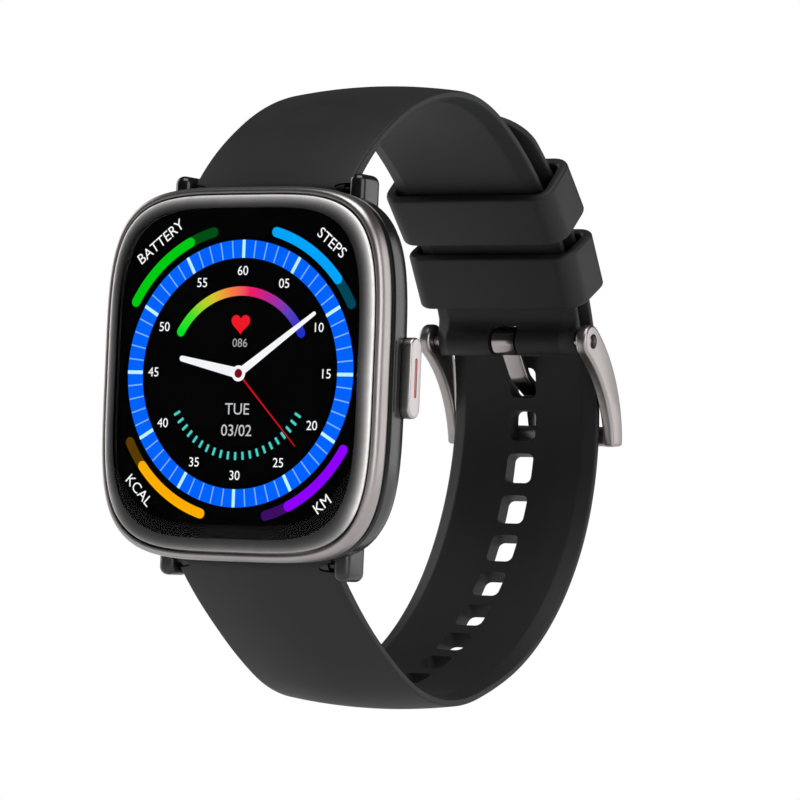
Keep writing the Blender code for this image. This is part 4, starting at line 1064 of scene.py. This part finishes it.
class WATCH_OT_dial(bpy.types.Operator):
    """The lit dial: minute ring, numbers, arcs, hands and generic readings"""
    bl_idname = "watch.dial"
    bl_label = "Dial"

    def execute(self, context):
        self.radius = sizes().dial_radius / MM
        self.minute_ring()
        self.numbers()
        self.arcs()
        self.hands()
        return {"FINISHED"}

    def lit(self, name, colour):
        return finish_of("lit_" + name, lit_finish, "lit_" + name, colour)

    def level(self, layer):
        return DIAL_Y - DIAL_LAYER * layer

    def flat(self, name, outline, colour, layer, hole=None):
        """A thin lit shape: outline in shares of the dial radius, layer counting forward from the display."""
        r = self.radius
        front = self.level(layer)
        scaled = [(u * r, v * r) for u, v in outline]
        inner = [(u * r, v * r) for u, v in hole] if hole else None
        obj = prism(name, scaled, front, front + DIAL_SHEET, lambda u, v, w: (u, w, v), hole=inner)
        return fitted(obj, "case", colour, "display")

    def stroke(self, radius, width, start, end, round_ends=True, steps=40):
        """Outline of an arc, in degrees clockwise from the top."""
        first, last = 90 - start, 90 - end
        outline = arc_pairs((0, 0), radius + width / 2, first, last, steps)
        tip = radius * math.cos(math.radians(last)), radius * math.sin(math.radians(last))
        tail = radius * math.cos(math.radians(first)), radius * math.sin(math.radians(first))
        way = -1 if last < first else 1
        if round_ends:
            outline += arc_pairs(tip, width / 2, last, last + way * 180, 12)[1:-1]
        outline += arc_pairs((0, 0), radius - width / 2, last, first, steps)
        if round_ends:
            outline += arc_pairs(tail, width / 2, first + 180, first + 180 + way * 180, 12)[1:-1]
        return outline

    def minute_ring(self):
        around = arc_pairs((0, 0), 1.0, 0, 357.5, 144)
        inside = arc_pairs((0, 0), 0.864, 0, 357.5, 144)
        blue = self.lit("ring", tuple(colours().ring))
        self.flat("minute_ring", around, blue, 1, inside)
        count = sizes().minute_lines
        minutes = [90 - 360 * i / count for i in range(count)]
        fine = self.lit("minute_lines", (0.19, 0.45, 1.0))
        bold = self.lit("hour_lines", (0.51, 0.91, 1.0))
        teal = self.lit("teal", (0.06, 0.62, 0.56))
        self.ticks("minute_lines", minutes, 0.932, 0.010, 0.13, fine, 2)
        self.ticks("hour_lines", minutes[::count // 12], 0.932, 0.027, 0.136, bold, 3)
        self.ticks("teal_ticks", 90 - np.linspace(119.6, 240.4, 21), 0.617, 0.02, 0.06, teal, 2)

    def ticks(self, name, angles, radius, width, length, colour, layer):
        """Short lines that point at the dial's middle, with their sizes in shares of its radius."""
        r = self.radius
        angles = [math.radians(a) for a in angles]
        spots = [(radius * r * math.cos(a), self.level(layer), radius * r * math.sin(a)) for a in angles]
        turns = [(math.pi / 2, math.pi / 2 - a, 0.0) for a in angles]
        bars = repeated(name, spots, turns, width * r, length * r, 0.004 * r, DIAL_SHEET, colour)
        fitted(bars, "case", colour, "display")

    def writing(self, name, text, centre, size, colour, layer=3, turn=0.0):
        """Plain lettering, centred on a point of the dial."""
        r = self.radius
        curve = bpy.data.curves.new(name, "FONT")
        curve.body = text
        curve.size = size * r * MM * 1.38
        curve.align_x = "CENTER"
        curve.align_y = "CENTER"
        curve.extrude = 0.000003
        curve.resolution_u = 4
        drawn = bpy.data.objects.new(name, curve)
        bpy.context.scene.collection.objects.link(drawn)
        bpy.context.view_layer.update()
        mesh = bpy.data.meshes.new_from_object(drawn.evaluated_get(bpy.context.evaluated_depsgraph_get()))
        bpy.data.objects.remove(drawn, do_unlink=True)
        stand = Matrix(((1, 0, 0, 0), (0, 0, -1, 0), (0, 1, 0, 0), (0, 0, 0, 1)))
        move = Matrix.Translation(Vector((centre[0] * r, self.level(layer), centre[1] * r)) * MM)
        mesh.transform(move @ stand @ Matrix.Rotation(math.radians(turn), 4, "Z"))
        bm = bmesh.new()
        bm.from_mesh(mesh)
        return fitted(finished(name, bm), "case", colour, "display")

    def numbers(self):
        white = self.lit("white", (0.92, 0.94, 0.96))
        nudges = {1: -1.0, 2: 3.4, 7: -1.5, 10: -3.4, 11: 2.0}
        for i in range(12):
            a = math.radians(90 - 30 * i - nudges.get(i, 0.0))
            self.writing("number_%02d" % (5 * i or 60), "%02d" % (5 * i or 60),
                         (0.765 * math.cos(a), 0.765 * math.sin(a)), 0.072, white)
        grey = self.lit("reading", (0.55, 0.56, 0.57))
        self.writing("reading_day", "TUE", (0.0, -0.27), 0.088, grey)
        self.writing("reading_date", "03/02", (0.0, -0.43), 0.088, grey)
        self.writing("reading_pulse", "086", (0.0, 0.225), 0.066, self.lit("pulse", (0.35, 0.36, 0.37)))
        for name, text, angle in (("battery", "BATTERY", -37.4), ("steps", "STEPS", 38.4),
                                  ("distance", "KM", 140.8), ("energy", "KCAL", -136.2)):
            a = math.radians(90 - angle)
            place = (1.238 * math.cos(a), 1.238 * math.sin(a))
            turn = -angle if abs(angle) < 90 else 180 - angle
            self.writing("label_" + name, text, place, 0.084, white, turn=turn)

    def arcs(self):
        for name, start, end, colour, dim in (
                ("green", -60.8, -14.5, (0.0, 0.6, 0.006), (0.0, 0.075, 0.008)),
                ("sky", 15.0, 61.5, (0.0, 0.38, 1.0), (0.0, 0.06, 0.1)),
                ("violet", 120.5, 164.8, (0.28, 0.0, 1.0), (0.045, 0.004, 0.13)),
                ("amber", -164.5, -119.0, (1.0, 0.43, 0.0), (0.1, 0.045, 0.0))):
            self.flat("track_" + name, self.stroke(1.092, 0.076, start, end), self.lit(name + "_dim", dim), 1)
            cut = start + (end - start) * 0.75
            self.flat("level_" + name, self.stroke(1.092, 0.076, start, cut), self.lit(name, colour), 2)
        outline = self.stroke(0.616, 0.07, -60, 60.5, steps=60)
        rainbow = self.flat("pulse_arc", outline, finish_of("rainbow", rainbow_finish), 2)
        sweep = rainbow.data.attributes.new("sweep", "FLOAT", "POINT")
        for item, vertex in zip(sweep.data, rainbow.data.vertices):
            item.value = (math.degrees(math.atan2(vertex.co.x, vertex.co.z)) + 60) / 120
        heart = []
        for t in np.linspace(0, 2 * math.pi, 48, endpoint=False):
            rise = 13 * math.cos(t) - 5 * math.cos(2 * t) - 2 * math.cos(3 * t) - math.cos(4 * t)
            heart.append((0.0052 * 16 * math.sin(t) ** 3, 0.375 + 0.0052 * rise))
        self.flat("heart", heart, self.lit("red", (0.85, 0.01, 0.02)), 3)

    def hands(self):
        white = self.lit("white", (0.92, 0.94, 0.96))
        for name, angle, reach, width, colour, layer in (
                ("hour_hand", -78.2, 0.545, 0.022, white, 4), ("minute_hand", 55.1, 0.80, 0.015, white, 5),
                ("second_hand", 135.6, 0.75, 0.008, self.lit("hand_red", (0.5, 0.006, 0.012)), 6)):
            a = math.radians(90 - angle)
            along, across = (math.cos(a), math.sin(a)), (-math.sin(a), math.cos(a))
            tip = arc_pairs((reach - width, 0.0), width, 80, -80, 9)
            shape = [(0.0, -width - 0.018), (0.0, width + 0.018), *tip]
            if name == "second_hand":
                shape = ((0.0, width), (reach, width * 0.5), (reach, -width * 0.5), (0.0, -width))
            outline = [(p * along[0] + q * across[0], p * along[1] + q * across[1]) for p, q in shape]
            self.flat(name, outline, colour, layer)
        self.flat("hub", arc_pairs((0, 0), 0.06, 0, 352, 44), white, 7)
        dark_red = self.lit("dark_red", (0.2, 0.004, 0.006))
        self.flat("hub_middle", arc_pairs((0, 0), 0.034, 0, 348, 30), dark_red, 8)


class WATCH_OT_inside(bpy.types.Operator):
    """Finishes for the modules, seals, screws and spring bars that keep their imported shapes"""
    bl_idname = "watch.inside"
    bl_label = "Inside Parts"

    def execute(self, context):
        steel = tuple(colours().steel)
        kinds = {
            "display_panel": ("panel_black", gloss_finish, (0.004, 0.004, 0.005), 0.2),
            "display_gasket rear_cover_seal button_seal":
                ("seal_rubber", gloss_finish, (0.03, 0.03, 0.03), 0.7),
            "main_board sensor_board": ("circuit_green", gloss_finish, (0.01, 0.09, 0.035), 0.45),
            "processor_shield mid_plate": ("bracket_alloy", brushed_finish, (0.4, 0.4, 0.42), 0.4),
            "battery": ("cell_wrap", gloss_finish, (0.08, 0.08, 0.09), 0.4),
            "speaker button_switch": ("moulded_black", gloss_finish, (0.02, 0.02, 0.022), 0.45),
            "display_flex": ("flex_amber", gloss_finish, (0.4, 0.17, 0.03), 0.4),
            "charging_pin_left charging_pin_right": ("gold", brushed_finish, (0.8, 0.52, 0.2), 0.22),
            "sensor_led_green": ("emitter_green", gloss_finish, (0.05, 0.6, 0.15), 0.3),
            "sensor_led_red": ("emitter_red", gloss_finish, (0.7, 0.04, 0.03), 0.3),
            "photodiode": ("detector", gloss_finish, (0.01, 0.012, 0.03), 0.15),
        }
        for names, (label, maker, colour, roughness) in kinds.items():
            for name in names.split():
                self.paint(name, finish_of(label, maker, label, colour, roughness))
        done = set(" ".join(kinds).split()) | {"button_cap", "button_accent"}
        dark = finish_of("blackened_steel", brushed_finish, "blackened_steel", shade(steel, 0.12), 0.4)
        metal = ("upper_bar", "lower_bar", "case_screw", "button_", "vibration", "microphone")
        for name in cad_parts:
            if name not in done and name.startswith(metal):
                self.paint(name, dark if "_bar_" in name else steel_bare())
        return {"FINISHED"}

    def paint(self, name, material):
        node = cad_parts[name]
        node.data.materials.clear()
        node.data.materials.append(material)


# The stage. The camera's lens is in millimetres, and it aims off the head by shares of its distance.
LENS = 192.645
AIM_RIGHT, AIM_DOWN = 0.037795, 0.006237
CAMERA_DISTANCE = 0.498


def studio_light(name, place, target, size, power):
    data = bpy.data.lights.new(name, "AREA")
    data.shape = "RECTANGLE"
    data.size, data.size_y = size
    data.energy = power
    light = bpy.data.objects.new(name, data)
    bpy.context.scene.collection.objects.link(light)
    light.location = place
    light.rotation_euler = (Vector(target) - Vector(place)).to_track_quat("-Z", "Y").to_euler()


def round_the_head(azimuth, elevation, distance):
    a, e = math.radians(azimuth), math.radians(elevation)
    return distance * math.sin(a) * math.cos(e), -distance * math.cos(a) * math.cos(e), distance * math.sin(e)


class WATCH_OT_stage(bpy.types.Operator):
    """Pale floor, soft lights, white surroundings and the camera"""
    bl_idname = "watch.stage"
    bl_label = "Stage"

    def execute(self, context):
        bpy.context.scene.view_settings.view_transform = "Standard"
        self.floor()
        self.surroundings()
        middle = (0.0, 0.015, -0.005)
        studio_light("softbox_right", round_the_head(80, 12, 0.55), middle, (0.35, 0.5), 1.7)
        studio_light("softbox_left", round_the_head(-95, 15, 0.6), middle, (0.3, 0.5), 1.5)
        studio_light("softbox_top", (0.1, -0.12, 0.58), middle, (0.5, 0.4), 3.0)
        studio_light("softbox_back", round_the_head(142, 4, 0.6), middle, (0.35, 0.5), 1.1)
        self.camera()
        return {"FINISHED"}

    def floor(self):
        # Low enough for the strap to swing down without meeting it.
        bpy.ops.mesh.primitive_plane_add(size=8.0, location=(0, 0, CAD_BOX[0][2] - 0.008))
        plane = bpy.context.object
        plane.name = "floor"
        finish = Finish("floor_paint", roughness=0.9, emission_color=(1.0, 1.0, 1.0), emission_strength=0.3)
        cloud = finish.noise(3.0, 3.0)
        finish.feed("Base Color", finish.tint(cloud, (0.8, 0.8, 0.8), (0.84, 0.84, 0.84)))
        finish.feed("Specular IOR Level", 0.1)
        seen = finish.node("ShaderNodeLightPath", output="Is Camera Ray")
        white = finish.node("ShaderNodeEmission", {"Color": (1.0, 1.0, 1.0), "Strength": 1.0})
        paint = Wire(finish, finish.shader.outputs[0])
        lit = finish.node("ShaderNodeMixShader", {0: seen, 1: paint, 2: white})
        finish.join(finish.tree.nodes["Material Output"].inputs["Surface"], lit)
        plane.data.materials.append(finish.material)

    def surroundings(self):
        world = bpy.data.worlds.new("studio")
        bpy.context.scene.world = world
        world.use_nodes = True
        nodes, links = world.node_tree.nodes, world.node_tree.links
        seen, mix = nodes.new("ShaderNodeLightPath"), nodes.new("ShaderNodeMixShader")
        dim, bright = nodes["Background"], nodes.new("ShaderNodeBackground")
        dim.inputs[0].default_value = (1.0, 1.0, 1.0, 1.0)
        dim.inputs[1].default_value = 0.03
        bright.inputs[0].default_value = (1.0, 1.0, 1.0, 1.0)
        bright.inputs[1].default_value = 1.0
        links.new(seen.outputs["Is Camera Ray"], mix.inputs[0])
        links.new(dim.outputs[0], mix.inputs[1])
        links.new(bright.outputs[0], mix.inputs[2])
        links.new(mix.outputs[0], nodes["World Output"].inputs["Surface"])

    def camera(self):
        target = Vector((0.0, -0.010, 0.0))
        back = Vector(round_the_head(33.23, -2.71, 1.0))
        right = (-back).cross(Vector((0, 0, 1))).normalized()
        up = right.cross(-back)
        roll = math.radians(2.44)
        right, up = (right * math.cos(roll) + up * math.sin(roll),
                     up * math.cos(roll) - right * math.sin(roll))
        ahead = (-back + right * AIM_RIGHT - up * AIM_DOWN).normalized()
        side = ahead.cross(up).normalized()
        data = bpy.data.cameras.new("camera")
        data.sensor_width = 36.0
        data.lens = LENS
        data.clip_start = 0.01
        camera = bpy.data.objects.new("camera", data)
        bpy.context.scene.collection.objects.link(camera)
        turn = Matrix((side, side.cross(ahead), -ahead)).transposed().to_4x4()
        camera.matrix_world = Matrix.Translation(target + back * CAMERA_DISTANCE) @ turn
        bpy.context.scene.camera = camera


STEPS = (WATCH_OT_glass, WATCH_OT_case, WATCH_OT_button, WATCH_OT_straps, WATCH_OT_keepers,
         WATCH_OT_buckle, WATCH_OT_dial, WATCH_OT_inside, WATCH_OT_stage)


class WATCH_PT_panel(bpy.types.Panel):
    """Sizes, colours and building steps of the watch"""
    bl_idname = "WATCH_PT_panel"
    bl_label = "Watch"
    bl_space_type = "VIEW_3D"
    bl_region_type = "UI"
    bl_category = "Watch"

    def draw(self, context):
        for group in (context.scene.watch_sizes, context.scene.watch_colours):
            for key in group.__annotations__:
                self.layout.prop(group, key)
        for step in STEPS:
            self.layout.operator(step.bl_idname)


CLASSES = (WatchSizes, WatchColours, *STEPS, WATCH_PT_panel)


def register():
    for cls in CLASSES:
        bpy.utils.register_class(cls)
    bpy.types.Scene.watch_sizes = PointerProperty(type=WatchSizes)
    bpy.types.Scene.watch_colours = PointerProperty(type=WatchColours)


def unregister():
    del bpy.types.Scene.watch_colours
    del bpy.types.Scene.watch_sizes
    for cls in reversed(CLASSES):
        bpy.utils.unregister_class(cls)


def main():
    register()
    for step in STEPS:
        group, name = step.bl_idname.split(".")
        getattr(getattr(bpy.ops, group), name)()


if __name__ == "__main__":
    main()
